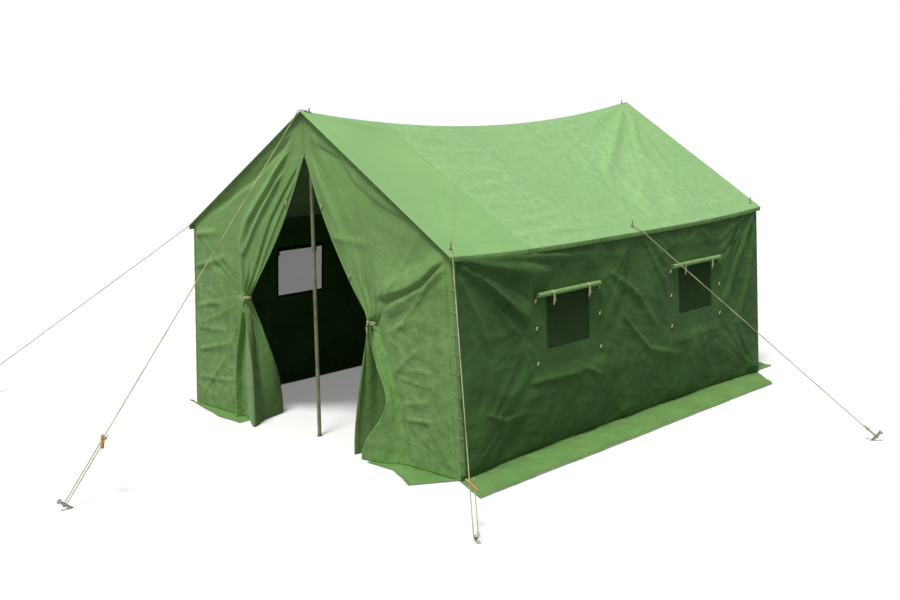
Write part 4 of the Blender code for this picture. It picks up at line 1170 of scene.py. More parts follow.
@dataclass
class Window:
    """A screened window: its net, the rolled flap above it and the strip that the roll hangs from."""

    name: str
    side: Side
    middle: float                   # along the wall
    sill: float                     # height of the opening's lower edge
    shape: TentShape = SHAPE
    width: float = 0.52             # of the opening
    height: float = 0.43
    overlap: float = 0.020          # of the net past the opening
    roll_length: float = 0.77
    roll_radius: float = 0.021375
    roll_above: float = 0.425       # from the sill up to the roll's middle
    stand_off: float = 0.0038       # between the roll and the wall
    tie_spacing: float = 0.44

    def body(self) -> str:
        """The body that the rolled flap moves with."""
        return "flap_" + self.name

    def roll_centre(self) -> Vector:
        """Middle of the rolled flap."""
        return self.shape.on_wall(self.side, self.middle, self.sill + self.roll_above,
                                  self.roll_radius + self.stand_off)

    def build(self) -> None:
        """Make the net, the roll with its ties, and the strip."""
        self.build_net()
        self.build_roll()
        self.build_strip()
        for column, away in enumerate((-0.395, 0.395)):
            for row, rise in enumerate((0.385, 0.180, -0.085)):
                spot = self.shape.on_wall(self.side, self.middle + away, self.sill + rise, 0.0085)
                wood_toggle(f"window_toggle_{self.name}_{column}{row}", spot, Vector((0, 0.5, 1)),
                            lambda piece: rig.ride(piece, TENT), 0.030)

    def build_net(self) -> None:
        """The net: flat at its edges, drawn in by up to 6 mm between them as sin * sin."""
        shape, half = self.shape, self.width / 2 + self.overlap
        y = np.linspace(self.middle - half, self.middle + half, 56)
        z = np.linspace(self.sill - self.overlap, self.sill + self.height + self.overlap, 48)
        grid_y, grid_z = np.meshgrid(y, z)
        belly = (np.sin(np.pi * (grid_y - y[0]) / (y[-1] - y[0]))
                 * np.sin(np.pi * (grid_z - z[0]) / (z[-1] - z[0])))
        off = -shape.cloth - 0.0008 - 0.006 * belly - 0.002 * belly * noise(grid_y, grid_z, 0.09, 3)
        grid = Grid(shape.off_wall(self.side, grid_y, grid_z, off), stacked(grid_y, grid_z))
        net = WINDOW_NET if self.side is Side.RIGHT else BACKLIT_NET
        made = sheet_object("window_net_" + self.name, grid, (self.side, 0, 0), net, 0.0008)
        settle(made, "window_screen_" + self.name)
        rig.sheet(made, flat=(2 * half, self.height + 2 * self.overlap), held="stretched",
                 rests_on=["wall_canvas_" + self.side.key])

    def build_roll(self) -> None:
        """The rolled flap: a spiral section carried along, slack between its ties and pinched under them.

        Formula: the spiral's radius is core + pitch * turn, times 1 + slack, less a bell at each tie.
        """
        turns, sheet, space, core = 2.75, 0.0030, 0.0015, 0.0060
        start = math.pi - math.tau * turns
        angle = np.linspace(0, math.tau * turns, 110)
        inner = core + (sheet + space) * angle / math.tau
        way = np.stack([np.cos(angle + start), np.sin(angle + start)], axis=1)
        section = np.concatenate([way * (inner + sheet)[:, None], (way * inner[:, None])[::-1]])
        tied = (-self.tie_spacing / 2, self.tie_spacing / 2)
        along = graded([-self.roll_length / 2, *tied, self.roll_length / 2], 0.011)
        seed = int(abs(self.middle) * 1000) + self.side
        ties = sum(np.exp(-((along - place) / 0.016) ** 2) for place in tied)[:, None]
        round_it = np.arctan2(section[:, 1], section[:, 0])
        slack = 1.0 + 0.035 * noise(along[:, None], round_it[None, :] * 0.06, 0.05, seed, 2) * (1 - ties)
        centre = self.roll_centre()
        size = np.minimum((1.0 - 0.07 * ties) * slack, 1.0)
        droop = -0.002 * noise(along, along * 0, 0.3, seed + 9)
        points = stacked(centre.x + self.side * section[None, :, 0] * size, self.middle + along[:, None],
                         centre.z + section[None, :, 1] * size + droop[:, None])
        count = section.shape[0]
        grid = Grid(points, closed=True)
        ends = np.arange(count // 2 - 1)
        first = stacked(ends, ends + 1, count - 2 - ends, count - 1 - ends)
        last = first[:, ::-1] + (len(along) - 1) * count
        faces = np.vstack([grid.cells(), first, last])
        spread = run_along(section)
        uv = stacked(along[:, None], spread[None, :]).reshape(-1, 2)
        made = make_mesh("window_roll_" + self.name, points.reshape(-1, 3), faces, uv)
        dress(made, FLAP_CANVAS)
        weld(made)
        settle(made, "window_flap_roll_" + self.name, self.body())
        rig.sheet(made, flat=(self.roll_length, float(spread[count // 2])), held="folded",
                 rests_on=["wall_canvas_" + self.side.key])
        for number, place in enumerate(tied):
            self.build_tie(number, centre, self.middle + place)

    def build_tie(self, number: int, centre: Vector, y: float) -> None:
        """A tape round the roll, tied in a bow in front (a figure of eight), with two ends that hang down.

        Args:
            number: Of this tie on its roll.
            centre: Middle of the roll.
            y: Place of the tie along the wall.
        """
        out, name = self.side, f"{self.name}_{number}"
        middle = np.array((centre.x, y, centre.z))
        turn = np.linspace(0, math.tau, 40)
        radial = stacked(np.cos(turn), 0, np.sin(turn))
        radius = self.roll_radius * 0.97 + 0.0008
        ring = middle + radial * radius
        pieces = [tube_object("window_tie_" + name, ring, 0.009, TIE_WEBBING, 12, radial, flat=0.09)]
        lean = self.shape.splay / self.shape.eave
        for which, (shift, drop) in enumerate(((-0.004, 0.085), (0.007, 0.062))):
            out_by = lean * drop
            steps = ((0, 0, 0.004), (0.003, shift * 0.5, -0.012), (0.001 + out_by * 0.5, shift, -drop * 0.55),
                     (out_by - 0.001, shift * 1.8, -drop))
            start = middle + [out * (radius + 0.002), 0, 0]
            end = tape(f"window_tie_end_{name}_{which}", start, out, steps, 0.0075, (1, 0, 0), 0.13, 0.004)
            pieces.append(end)
        bow = middle + [out * (radius + 0.0035), 0, 0.002]
        swirl = np.linspace(0, math.tau, 28)
        twice = np.sin(2 * swirl)
        loop = bow + stacked(out * 0.0025 * twice, 0.011 * np.sin(swirl), 0.006 * twice)
        knot = tube_object("window_tie_bow_" + name, loop, 0.0035, TIE_WEBBING, 8, (1, 0.1, 0.2), flat=0.6)
        for piece in (*pieces, knot):
            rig.ride(piece, self.body())

    def build_strip(self) -> None:
        """The part of the flap from its seam to the roll: flat on the wall, and longer as the roll drops."""
        shape, centre = self.shape, self.roll_centre()
        low, high = centre.z - 0.010, centre.z + self.roll_radius + 0.028
        y = graded([self.middle - self.roll_length / 2, self.middle + self.roll_length / 2], 0.012)
        z = graded([low, centre.z, high - 0.010, high], 0.006)
        grid_y, grid_z = np.meshgrid(y, z)
        off = 0.0019 + 0.0006 * noise(grid_y, grid_z, 0.05, 8)
        grid = Grid(shape.off_wall(self.side, grid_y, grid_z, off), stacked(grid_y, grid_z),
                    {"seam": bands(grid_z, (high - 0.006,), 0.004)})
        name = "window_strip_" + self.name
        made = sheet_object(name, grid, (self.side, 0, 0), SHADED_WALL_CANVAS, 0.0015)
        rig.replaces(made, "window_flap_sheet_" + self.name)
        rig.blend(made, TENT, self.body(), tuple(self.shape.on_wall(self.side, self.middle, high, 0)),
                 tuple(self.shape.on_wall(self.side, self.middle, centre.z, 0)))
        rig.sheet(made, flat=(self.roll_length, (high - low) * 1.01), held="hung",
                 rests_on=["wall_canvas_" + self.side.key])


WINDOWS = (Window("right_front", Side.RIGHT, -0.823, 0.765), Window("right_rear", Side.RIGHT, 0.998, 0.765),
           Window("left_front", Side.LEFT, -0.930, 0.840), Window("left_rear", Side.LEFT, 0.998, 0.840))
WALL_FANS = ((0.020, (-2.08, 1.62), -32, 24, 36, 0.60, 0), (0.018, (2.08, 1.62), -148, 24, 32, 0.55, 1),
             (0.016, (0.12, 1.60), -55, 24, 30, 0.50, 2), (0.016, (0.12, 1.60), -122, 24, 30, 0.50, 3),
             (0.014, (-2.08, 0.02), 42, 26, 28, 0.40, 4), (0.014, (2.08, 0.02), 138, 26, 28, 0.40, 5))
REAR_FANS = ((0.030, (0, 2.52), -90, 34, 30, 1, 0), (0.020, (-1.46, 1.56), -48, 26, 26, 0.6, 1),
             (0.020, (1.46, 1.56), -132, 26, 26, 0.6, 2))
# Along the wall and up it, off the front corner, beside and below the front window, and off the rear corner.
WALL_FOLDS = ((((-2.06, 1.565), (-1.76, 1.48), (-1.18, 1.356), (-0.86, 1.233)), 0.070, 0.045, 0.034),
              (((-2.07, 1.54), (-1.70, 1.31), (-1.35, 1.07), (-1.20, 0.90)), 0.060, 0.050, 0.024),
              (((-2.07, 1.48), (-1.88, 1.15), (-1.72, 0.80)), 0.045, 0.040, 0.014),
              (((-2.04, 1.575), (-1.30, 1.49), (-0.55, 1.42)), 0.045, 0.040, 0.018),
              (((-0.90, 0.680), (-0.36, 0.425)), 0.012, 0.035, 0.018),
              (((-1.36, 0.560), (-0.60, 0.535)), 0.012, 0.035, 0.016),
              (((-1.85, 0.44), (-1.60, 0.33), (-1.30, 0.35)), 0.014, 0.040, 0.014),
              (((-0.34, 1.30), (0.10, 1.02), (0.45, 0.62)), 0.030, 0.060, 0.014),
              (((-0.20, 0.95), (0.25, 0.55), (0.80, 0.40)), 0.020, 0.050, 0.014),
              (((2.04, 1.56), (1.70, 1.15), (1.35, 0.60)), 0.060, 0.030, 0.020),
              (((2.05, 1.50), (1.90, 0.95), (1.62, 0.45)), 0.050, 0.030, 0.016))


@dataclass
class SideWall:
    """A side wall: a sheet from under the eave to the ground, with a hole for each of its windows."""

    side: Side
    shape: TentShape = SHAPE
    step: float = 0.0165
    inward: float = -0.018      # its deepest fold, which stays clear of the poles
    outward: float = 0.055

    def windows(self) -> list[Window]:
        """The windows in this wall."""
        return [window for window in WINDOWS if window.side is self.side]

    def folds(self, y: Array, z: Array, top: Array) -> Array:
        """Folds of the wall, out from its smooth face: fans from the corners, long creases, small puckers.

        Args:
            y: Along the wall.
            z: Height.
            top: Height of the wall's top edge.

        Returns:
            Distances out from the smooth face.
        """
        seed = 200 if self.side is Side.RIGHT else 300
        out = fans(y, z, seed, WALL_FANS) + 1.35 * fold_lines(y, z, WALL_FOLDS)
        hang = ramp(z, 0.75, 0.20) * ramp(z, 0.0, 0.09)
        out += 0.014 * hang * np.sin(math.tau * (y / 0.66 + 0.25 * noise(y, z, 0.9, seed + 8)))
        out += 0.006 * crumple(y * 0.45, z, 0.115, seed + 12, 4.0)
        out += 0.012 * crumple(y, z * 0.75, 0.34, seed + 10, 4.0)
        out += 0.006 * noise(y * 0.8, z * 0.8, 0.16, seed + 9, 3)
        calm = ramp(top - z, 0.0, 0.06) * ramp(z, 0.003, 0.05)
        calm = calm * ramp(np.abs(y), 2.10, 2.02)
        for window in self.windows():
            beside = np.maximum(np.abs(y - window.middle) - window.roll_length / 2 - 0.01, 0)
            above = np.maximum(z - window.sill - window.height - 0.09, 0)
            below = np.maximum(window.sill - 0.13 - z, 0)
            calm = calm * ramp(np.hypot(beside, np.maximum(above, below)), 0.0, 0.10)
        return out * calm

    def build(self) -> None:
        """Work out the wall.

        Formula: x = straight splayed wall - bow of its foot + folds; the top edge follows the roof.
        """
        shape, windows = self.shape, self.windows()
        sill, height, framed = windows[0].sill, windows[0].height, (-0.020, -0.014, 0.0, 0.014, 0.020)
        sides = [window.middle + way * window.width / 2 for window in windows for way in (-1, 1)]
        y = graded([-2.1, -2.094, -2.08, 2.08, 2.094, 2.1] + around(sides, framed), self.step)
        levels = [shape.foot, 0.012, 0.03, 1.56, 1.584, 1.6] + around((sill, sill + height), framed)
        level = graded(levels, self.step)
        grid_y, grid_level = np.meshgrid(y, level)
        # The top edge lies under the roof, whose height depends on where the leaning wall meets it.
        top = np.full(grid_y.shape, shape.eave)
        for _ in range(3):
            top = shape.roof_surface(shape.wall_x(top), grid_y) - shape.wall_drop
        above = sill + height + 0.02
        past = np.maximum(grid_level - above, 0)
        z = np.where(past > 0, above + past * (top - above) / (shape.eave - above), grid_level)
        smooth = shape.wall_x(z) - shape.foot_bow(grid_y, z)
        x = smooth + np.clip(self.folds(grid_y, z, top), self.inward, self.outward)
        cell_y, cell_z = (y[1:] + y[:-1]) / 2, (level[1:, None] + level[:-1, None]) / 2
        holes = np.zeros((len(level) - 1, len(y) - 1), bool)
        framing = np.zeros_like(z)
        for window in windows:
            holes |= ((np.abs(cell_y - window.middle) < window.width / 2)
                      & (cell_z > sill) & (cell_z < sill + height))
            far = np.maximum(np.abs(grid_y - window.middle) - window.width / 2,
                             np.maximum(sill - grid_level, grid_level - sill - height))
            framing = np.maximum(framing, ramp(far, 0.021, 0.015))
        framing = np.maximum(framing, bands(np.abs(grid_y), (2.06,), 0.006))
        masks = {"seam": np.maximum(framing * 0.8, bands(z, (0.055,), 0.006)), "soil": ramp(z, 0.30, 0.02)}
        name = "wall_canvas_" + self.side.key
        grid = Grid(stacked(self.side * x, grid_y, z), stacked(grid_y, z), masks, holes)
        made = sheet_object(name, grid, (self.side, 0, 0), SHADED_WALL_CANVAS, shape.cloth)
        settle(made, "wall_" + self.side.key)
        area = 4.24 * 1.64 - sum(window.width * window.height for window in windows)
        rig.sheet(made, flat=(4.24, 1.64), held="stretched", rests_on=["roof_canvas"], area=area)


@dataclass
class RearWall:
    """The closed rear gable."""

    shape: TentShape = SHAPE
    step: float = 0.018

    def build(self) -> None:
        """Work out the gable: x = edge * u, and y takes fans from the peak and the corners."""
        shape = self.shape
        z = graded([shape.foot, 0.02, 0.05, 0.06, 1.59, shape.gable_top], self.step)
        u = np.linspace(-1, 1, 170)
        grid_u, grid_z = np.meshgrid(u, z)
        x = grid_u * shape.gable_edge(grid_z)
        out = fans(x, grid_z, 400, REAR_FANS) + 0.012 * noise(x, grid_z * 0.5, 0.25, 403, 3)
        hang = ramp(grid_z, 0.8, 0.2) * np.sin(math.tau * (x / 0.55 + 0.3 * noise(x, grid_z, 0.9, 404)))
        out += 0.014 * hang
        calm = ramp(np.abs(grid_u), 1.0, 0.92) * ramp(grid_z, 0.003, 0.09)
        calm = calm * ramp(2.53 - grid_z, 0.0, 0.15)
        y = shape.half_length - shape.cloth + out * calm
        seams = np.maximum(bands(grid_z, (0.055,), 0.006), bands(np.abs(x), (0.42, 1.30), 0.012) * 0.6)
        masks = {"seam": seams, "soil": ramp(grid_z, 0.30, 0.02)}
        grid = Grid(stacked(x, y, grid_z), stacked(x, grid_z), masks)
        made = sheet_object("wall_canvas_rear", grid, (0, 1, 0), SHADED_WALL_CANVAS, shape.cloth)
        settle(made, "wall_rear")
        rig.sheet(made, flat=(3.20, 2.56), held="stretched", rests_on=["roof_canvas"], area=6.45)


@dataclass
class DoorHalf:
    """Half of the front gable: canvas fixed at the corner and a door leaf gathered in its tie."""

    side: Side
    tie_x: float                    # where the leaf is gathered
    tie_z: float
    foot: Line                      # the skirt on the ground, from its outer end to its free edge
    shift: tuple[float, ...]        # how far each of those points moves outwards at half height
    slack: float                    # how far the free edge above the tie hangs in towards the middle
    toggles: tuple[float, ...]      # heights of the toggles on that edge
    folds: tuple[FoldRow, ...]      # of the flat cloth, outwards from the middle and up
    shape: TentShape = SHAPE
    half_width: float = 0.0412      # of the gathered waist, and then its half depth
    half_depth: float = 0.0342
    filled: float = 0.97            # share of that width which the cloth takes
    lap: float = 0.016              # from the tie's middle to where the pleats open
    flat_columns: int = 62
    leaf_columns: int = 150
    slit_top: float = 2.23          # where the two halves part
    middle_gap: float = 0.0004      # between the halves above that
    step: float = 0.0155

    def body(self) -> str:
        """The body that the gathered leaf moves with."""
        return "door_" + self.side.key

    def pleats(self, z: Array) -> Array:
        """Plan of the gathered cloth at each height below the tie.

        Formula: waist + (foot - waist) * sin(share of the way down * 90 degrees), plus a shift at half height
        and small second pleats along the line.

        Args:
            z: Heights of the rows.

        Returns:
            x outwards and y, shaped (rows, leaf columns, 2).
        """
        sign, count = self.side, len(self.foot)
        step = np.linspace(1, -1, count)
        way = np.where(np.arange(count) % 2 == 0, 1, -1)
        deep = way * self.half_depth * np.sqrt(1 - (self.filled * step) ** 2) * 0.94
        waist = stacked(self.tie_x + self.half_width * step * self.filled, deep - self.shape.half_length)
        foot = np.array(self.foot) * [sign, 1]
        below = self.tie_z - self.lap
        opened = np.sin(np.clip((below - z) / (below - 0.006), 0, 1) * math.pi / 2)[:, None, None]
        waist, foot = smooth_curve(waist, self.leaf_columns), smooth_curve(foot, self.leaf_columns)
        moved = smooth_curve(stacked(self.shift, 0), self.leaf_columns)
        plan = waist + (foot - waist) * opened + moved * np.sin(np.pi * opened ** 2.5)
        along = np.gradient(plan, axis=1)
        square = stacked(-along[..., 1], along[..., 0])
        square /= np.linalg.norm(square, axis=-1, keepdims=True) + 1e-9
        p = np.linspace(0, 1, self.leaf_columns)[None, :]
        down = opened[..., 0]
        second = np.sin(math.tau * (p * 7 + 0.45 * noise(p * 3.0 + 0 * down, down * 1.2, 1.0, 7 + sign)))
        deep = 0.008 * ramp(p, 0.0, 0.08) * ramp(p, 1.0, 0.97) * np.sin(np.pi * np.clip(down, 0, 0.93)) ** 0.6
        deep = deep * (0.6 + 0.6 * noise(p * 2.0 + 0 * down, down * 2.0, 1.0, 17 + sign))
        return plan + square * (second * deep)[..., None]

    def settled(self, x: Array, z: Array) -> Array:
        """Folds of the flat cloth: swags from the tie and creases below the rake.

        They are calmed at the tie, under the rake and at the ground.

        Args:
            x: Outwards from the middle.
            z: Height, as a column.

        Returns:
            Distances out of the gable's plane, towards the front.
        """
        seed, tie = 500 + self.side, (self.tie_x, self.tie_z)
        calm = ramp(np.hypot(x - self.tie_x, z - self.tie_z), 0.04, 0.30) * ramp(z, 0.003, 0.12)
        calm = calm * ramp(self.shape.gable_edge(z) - x, 0.0, 0.08) * ramp(z, 2.52, 2.36)
        z = z + 0 * x
        rows = ((0.012, tie, 100, 26, 18, 0.55, 0), (0.014, tie, 40, 20, 16, 0.40, 3),
                (0.010, tie, -40, 34, 14, 0.42, 5), (0.012, (1.46, 1.60), -128, 26, 20, 0.45, 7),
                (0.008, (1.55, 0.02), 128, 26, 20, 0.40, 8))
        out = fans(x, z, seed, rows) + fold_lines(x, z, self.folds)
        out += 0.004 * crumple(x * 0.45, z, 0.13, seed + 12, 4.0) * ramp(z, 1.5, 0.5)
        return (out + 0.007 * noise(x, z, 0.30, seed + 9, 3)) * calm

    def upper(self, z: Array) -> Array:
        """Points of the rows above the tie, from the roof and corner to the leaf's free edge.

        Formula: each column slides from its place in the tie to its place in the hanging cloth by a square
        root of the height, and the tie's pleats die away upwards.

        Args:
            z: Heights of the rows.

        Returns:
            x outwards, y and z, shaped (rows, columns, 3).
        """
        shape = self.shape
        top = self.tie_z + self.lap
        rise = np.clip((z - top) / (self.slit_top - top), 0, 1)[:, None]
        outer = shape.gable_edge(z)[:, None]
        edge = (self.tie_x - self.half_width * self.filled) * (1 - rise)
        edge = np.maximum(edge - self.slack * np.sin(np.pi * rise), self.middle_gap)
        inner = np.where(z[:, None] > self.slit_top, self.middle_gap, edge)
        flat = np.linspace(0, 1, self.flat_columns + 1)[:-1]
        leaf = np.linspace(0, 1, self.leaf_columns)
        ring = self.pleats(np.array([self.tie_z]))[0]
        waist_out = ring[0, 0]
        at_ring = np.concatenate([outer[0] + (waist_out - outer[0]) * flat, ring[:, 0]])
        share_ring = (outer[0] - at_ring) / (outer[0] - at_ring[-1])    # at the tie
        share_cloth = np.concatenate([flat * 0.36, 0.36 + 0.64 * leaf])
        mixed = share_ring + (share_cloth - share_ring) * rise ** 0.55
        x = outer + (inner - outer) * mixed
        start = ring[0, 1] + shape.half_length - shape.cloth
        pleat = np.concatenate([start * ramp(flat, 0.7, 1.0), ring[:, 1] + shape.half_length - shape.cloth])
        hem = 1 - 0.6 * ramp(x - inner, 0.07, -0.01) * ramp(rise, 0.0, 0.12)
        y = -shape.half_length + shape.cloth - self.settled(x, z[:, None]) * hem
        y = y + pleat[None, :] * np.exp(-rise / 0.10) - 0.012 * np.sin(np.pi * rise) * ramp(mixed, 0.5, 1.0)
        return stacked(x, y, z[:, None])

    def lower(self, z: Array) -> Array:
        """Points of the rows below the tie, from the corner to the skirt's free edge.

        Args:
            z: Heights of the rows.

        Returns:
            x outwards, y and z, shaped (rows, columns, 3).
        """
        shape = self.shape
        leaf = self.pleats(z)
        outer = shape.gable_edge(z)[:, None]
        flat = np.linspace(0, 1, self.flat_columns + 1)[None, :-1]
        x = outer + (leaf[:, :1, 0] - outer) * flat
        joined = 1 - ramp(flat, 0.85, 1.0) * ramp(self.tie_z - z[:, None], 0.0, 0.08)
        start = leaf[:, :1, 1] + shape.half_length - shape.cloth
        y = -shape.half_length + shape.cloth - self.settled(x, z[:, None]) * joined
        y = y + start * ramp(flat, 0.7, 1.0)
        skirt = stacked(leaf[..., 0], leaf[..., 1], z[:, None])
        return np.concatenate([stacked(x, y, z[:, None]), skirt], axis=1)

    def blend_line(self, high: bool) -> tuple[Triple, Triple]:
        """Where the cloth starts and ends to follow the door: level below the tie, slanting down above it.

        Args:
            high: True for the cloth above the tie.

        Returns:
            The line's start, near the corner, and its end.
        """
        sign = self.side
        start = Vector((sign * 1.48, -self.shape.half_length, self.tie_z))
        way = Vector((-sign * 0.2103, 0, -0.2594)) if high else Vector((-sign * 0.53, 0, 0))
        return tuple(start), tuple(start + way)

    def build(self) -> None:
        """Make the two sheets of this half, its free edge's hem, the tie and its trim."""
        shape, sign = self.shape, self.side
        columns = self.flat_columns + self.leaf_columns
        tie, lap = self.tie_z, self.lap
        high = graded([tie - lap, tie, tie + lap, shape.eave, self.slit_top, shape.gable_top], self.step)
        low = graded([0.0035, 0.012, 0.03, 0.05, 0.06, tie - lap, tie, tie + lap], self.step)
        cloth_x = np.concatenate([np.linspace(1.59, 1.01, self.flat_columns + 1)[:-1],
                                  np.linspace(1.01, -0.15, self.leaf_columns)])
        shown = {}
        for part, z, points in (("upper", high, self.upper(high)), ("lower", low, self.lower(low))):
            points = points * [sign, 1, 1]
            past = (tie - z) if part == "upper" else (z - tie)
            points[..., 1] += 0.0012 * np.clip(past / lap, 0, 1)[:, None]
            cloth = stacked(sign * cloth_x[None, :], z[:, None])
            last = np.arange(columns)[None, :] / (columns - 1) + 0 * z[:, None]
            hem = ramp(last, 0.962, 0.966) * ramp(last, 0.978, 0.974)
            from_edge = shape.gable_edge(points[..., 2]) - np.abs(points[..., 0])
            corner = ramp(np.abs(0.045 - from_edge), 0.004, 0.001)
            # The colour darkens towards the bottom, from 2.0 m down to 0.8 m.
            masks = {"seam": np.maximum(hem, corner), "soil": ramp(points[..., 2], 2.0, 0.8) * 0.95}
            name = f"front_canvas_{self.side.key}_{part}"
            grid = Grid(points, cloth, masks)
            made = sheet_object(name, grid, (0, -1, 0), FRONT_CANVAS, shape.cloth * 0.8, 0.0)
            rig.blend(made, TENT, self.body(), *self.blend_line(part == "upper"))
            shown[part] = (made, points)
        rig.replaces(shown["upper"][0], "front_wall_" + self.side.key)
        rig.replaces(shown["lower"][0], "door_leaf_" + self.side.key)
        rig.sheet(shown["upper"][0], flat=(1.60, 1.52), held="gathered", rests_on=["roof_canvas"], area=1.45)
        tied_by = ["door_tie_ring_" + self.side.key]
        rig.sheet(shown["lower"][0], flat=(1.75, 1.04), held="gathered", rests_on=tied_by)
        self.build_edge(shown["upper"][1])
        self.build_tie()

    def build_edge(self, points: Array) -> None:
        """The doubled hem along the leaf's free edge: a round-edged band that follows the last column.

        Args:
            points: The upper sheet's points.
        """
        free = points[:, -1]
        rows = (free[:, 2] > self.tie_z + 0.03) & (free[:, 2] < self.slit_top)
        path = free[rows] + [0, -0.0022, 0]
        path[:, 0] += self.side * 0.006
        made = tube_object("door_edge_" + self.side.key, path, 0.0085, FRONT_CANVAS, 12, (0, 1, 0), flat=0.30)
        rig.blend(made, TENT, self.body(), *self.blend_line(True))
        for number, height in enumerate(self.toggles):
            index = int(np.abs(path[:, 2] - height).argmin())
            spot = Vector(path[index]) + Vector((self.side * 0.026, -0.010, 0))
            wood_toggle(f"door_toggle_{self.side.key}_{number}", spot, Vector((0.25 * self.side, 0, 1)),
                        lambda piece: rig.blend(piece, TENT, self.body(), *self.blend_line(True)))

    def build_tie(self) -> None:
        """The tape round the gathered leaf, a loop that holds its toggle, and a hanging end."""
        sign = self.side
        centre = np.array([sign * self.tie_x, -self.shape.half_length, self.tie_z])
        turn = np.linspace(0, math.tau, 64)
        radial = stacked(np.cos(turn), np.sin(turn), 0)
        ring = centre + radial * [self.half_width + 0.0036, self.half_depth + 0.0026, 0]
        band = tube_object("door_tie_ring_" + self.side.key, ring, 0.0095, TIE_WEBBING, 12, radial, flat=0.11)
        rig.replaces(band, "door_tie_" + self.side.key)
        front = centre + [0, -self.half_depth - 0.006, 0]
        loop = ((0.012, 0.002, 0.004), (0.040, -0.004, 0.012), (0.070, 0.004, 0.004), (0.050, -0.003, -0.010),
                (0.014, 0, -0.004))
        tail = ((0, -0.001, 0), (-0.010, -0.006, -0.030), (-0.004, -0.010, -0.075), (-0.012, -0.008, -0.125))
        key = self.side.key
        held = tape("door_tie_loop_" + key, front, sign, loop, 0.0042, (0, 1, 0.2), 0.7, 0.003)
        hanging = tape("door_tie_end_" + key, front, sign, tail, 0.0080, (1, 0, 0.1), 0.14, 0.003)
        for piece in (band, held, hanging):
            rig.ride(piece, self.body())
        spot = Vector(front + [sign * 0.004, -0.007, 0])
        wood_toggle("door_tie_toggle_" + self.side.key, spot, Vector((0.2, 0, 1)),
                    lambda piece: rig.ride(piece, self.body()))


# Outwards from the middle and up: beside the door's edge, below the rake, and in from the corner.
LEFT_FOLDS = ((((0.06, 2.15), (0.43, 1.70), (0.74, 1.12)), 0.016, 0.016, -0.026),
              (((0.05, 2.10), (0.38, 1.64), (0.69, 1.12)), 0.018, 0.018, 0.014),
              (((0.15, 2.28), (0.41, 1.99), (0.72, 1.68), (0.90, 1.30)), 0.060, 0.030, 0.032),
              (((0.23, 2.10), (0.53, 1.76), (0.81, 1.38), (0.84, 1.15)), 0.045, 0.024, 0.026),
              (((0.10, 2.38), (0.60, 2.03), (1.25, 1.70)), 0.060, 0.030, -0.018),
              (((1.57, 1.50), (1.10, 1.56)), 0.040, 0.025, 0.014),
              (((1.54, 1.22), (1.00, 1.36)), 0.045, 0.025, 0.016),
              (((1.54, 0.88), (1.15, 0.97)), 0.035, 0.018, 0.012),
              (((1.57, 0.48), (0.98, 0.64)), 0.035, 0.016, 0.012),
              (((1.55, 0.26), (0.97, 0.30)), 0.030, 0.012, 0.010),
              (((1.56, 0.70), (1.05, 0.72)), 0.030, 0.014, 0.008))
UNDER_RAKE = ((0.02, 2.33), (0.38, 2.20), (0.53, 2.03), (0.76, 1.885), (1.02, 1.80), (1.34, 1.645))
CORNER_DRAG = ((1.47, 1.575), (1.255, 1.40), (1.117, 1.325), (0.917, 1.255), (0.70, 1.205))
RIGHT_FOLDS = ((UNDER_RAKE, 0.035, 0.08, -0.011),
               (CORNER_DRAG, 0.020, 0.150, 0.042),
               (((1.48, 1.53), (1.254, 1.331), (0.943, 1.166), (0.74, 1.05)), 0.060, 0.045, 0.026),
               (((0.07, 2.22), (0.22, 1.955), (0.34, 1.776), (0.50, 1.45)), 0.050, 0.050, 0.012),
               (((0.27, 1.625), (0.75, 1.602)), 0.030, 0.050, 0.008),
               (((0.78, 0.93), (1.195, 1.126)), 0.022, 0.040, 0.009),
               (((0.86, 0.62), (1.246, 0.934)), 0.018, 0.034, 0.009),
               (((1.02, 0.345), (1.34, 0.385)), 0.008, 0.026, 0.011),
               (((0.95, 0.45), (1.36, 0.53)), 0.012, 0.030, 0.007),
               (((1.36, 0.62), (0.92, 0.66)), 0.022, 0.012, 0.007),
               (((1.38, 0.74), (0.95, 0.72)), 0.026, 0.012, 0.006),
               (((0.66, 0.12), (0.92, 0.33), (1.02, 0.40)), 0.020, 0.040, 0.010))
DOORS = (DoorHalf(Side.LEFT, 0.794, 1.040,
                  ((-1.010, -2.100), (-0.930, -2.165), (-0.885, -2.085), (-0.590, -2.238), (-0.672, -2.075),
                   (-0.700, -1.990), (-0.722, -1.890), (-0.752, -1.802), (-0.790, -1.840)),
                  (0.0, 0.01, 0.03, -0.02, 0.035, 0.0, -0.03, -0.01, 0.0), 0.075, (1.85,), LEFT_FOLDS),
         DoorHalf(Side.RIGHT, 0.709, 1.025,
                  ((1.050, -2.100), (0.890, -2.180), (0.700, -2.222), (0.715, -2.150), (0.870, -2.050),
                   (0.800, -1.890), (0.665, -1.930), (0.600, -2.060), (0.572, -2.185)),
                  (0.0, 0.10, 0.225, 0.20, 0.12, 0.05, 0.0, 0.0, 0.01), 0.050, (1.85, 1.35), RIGHT_FOLDS))


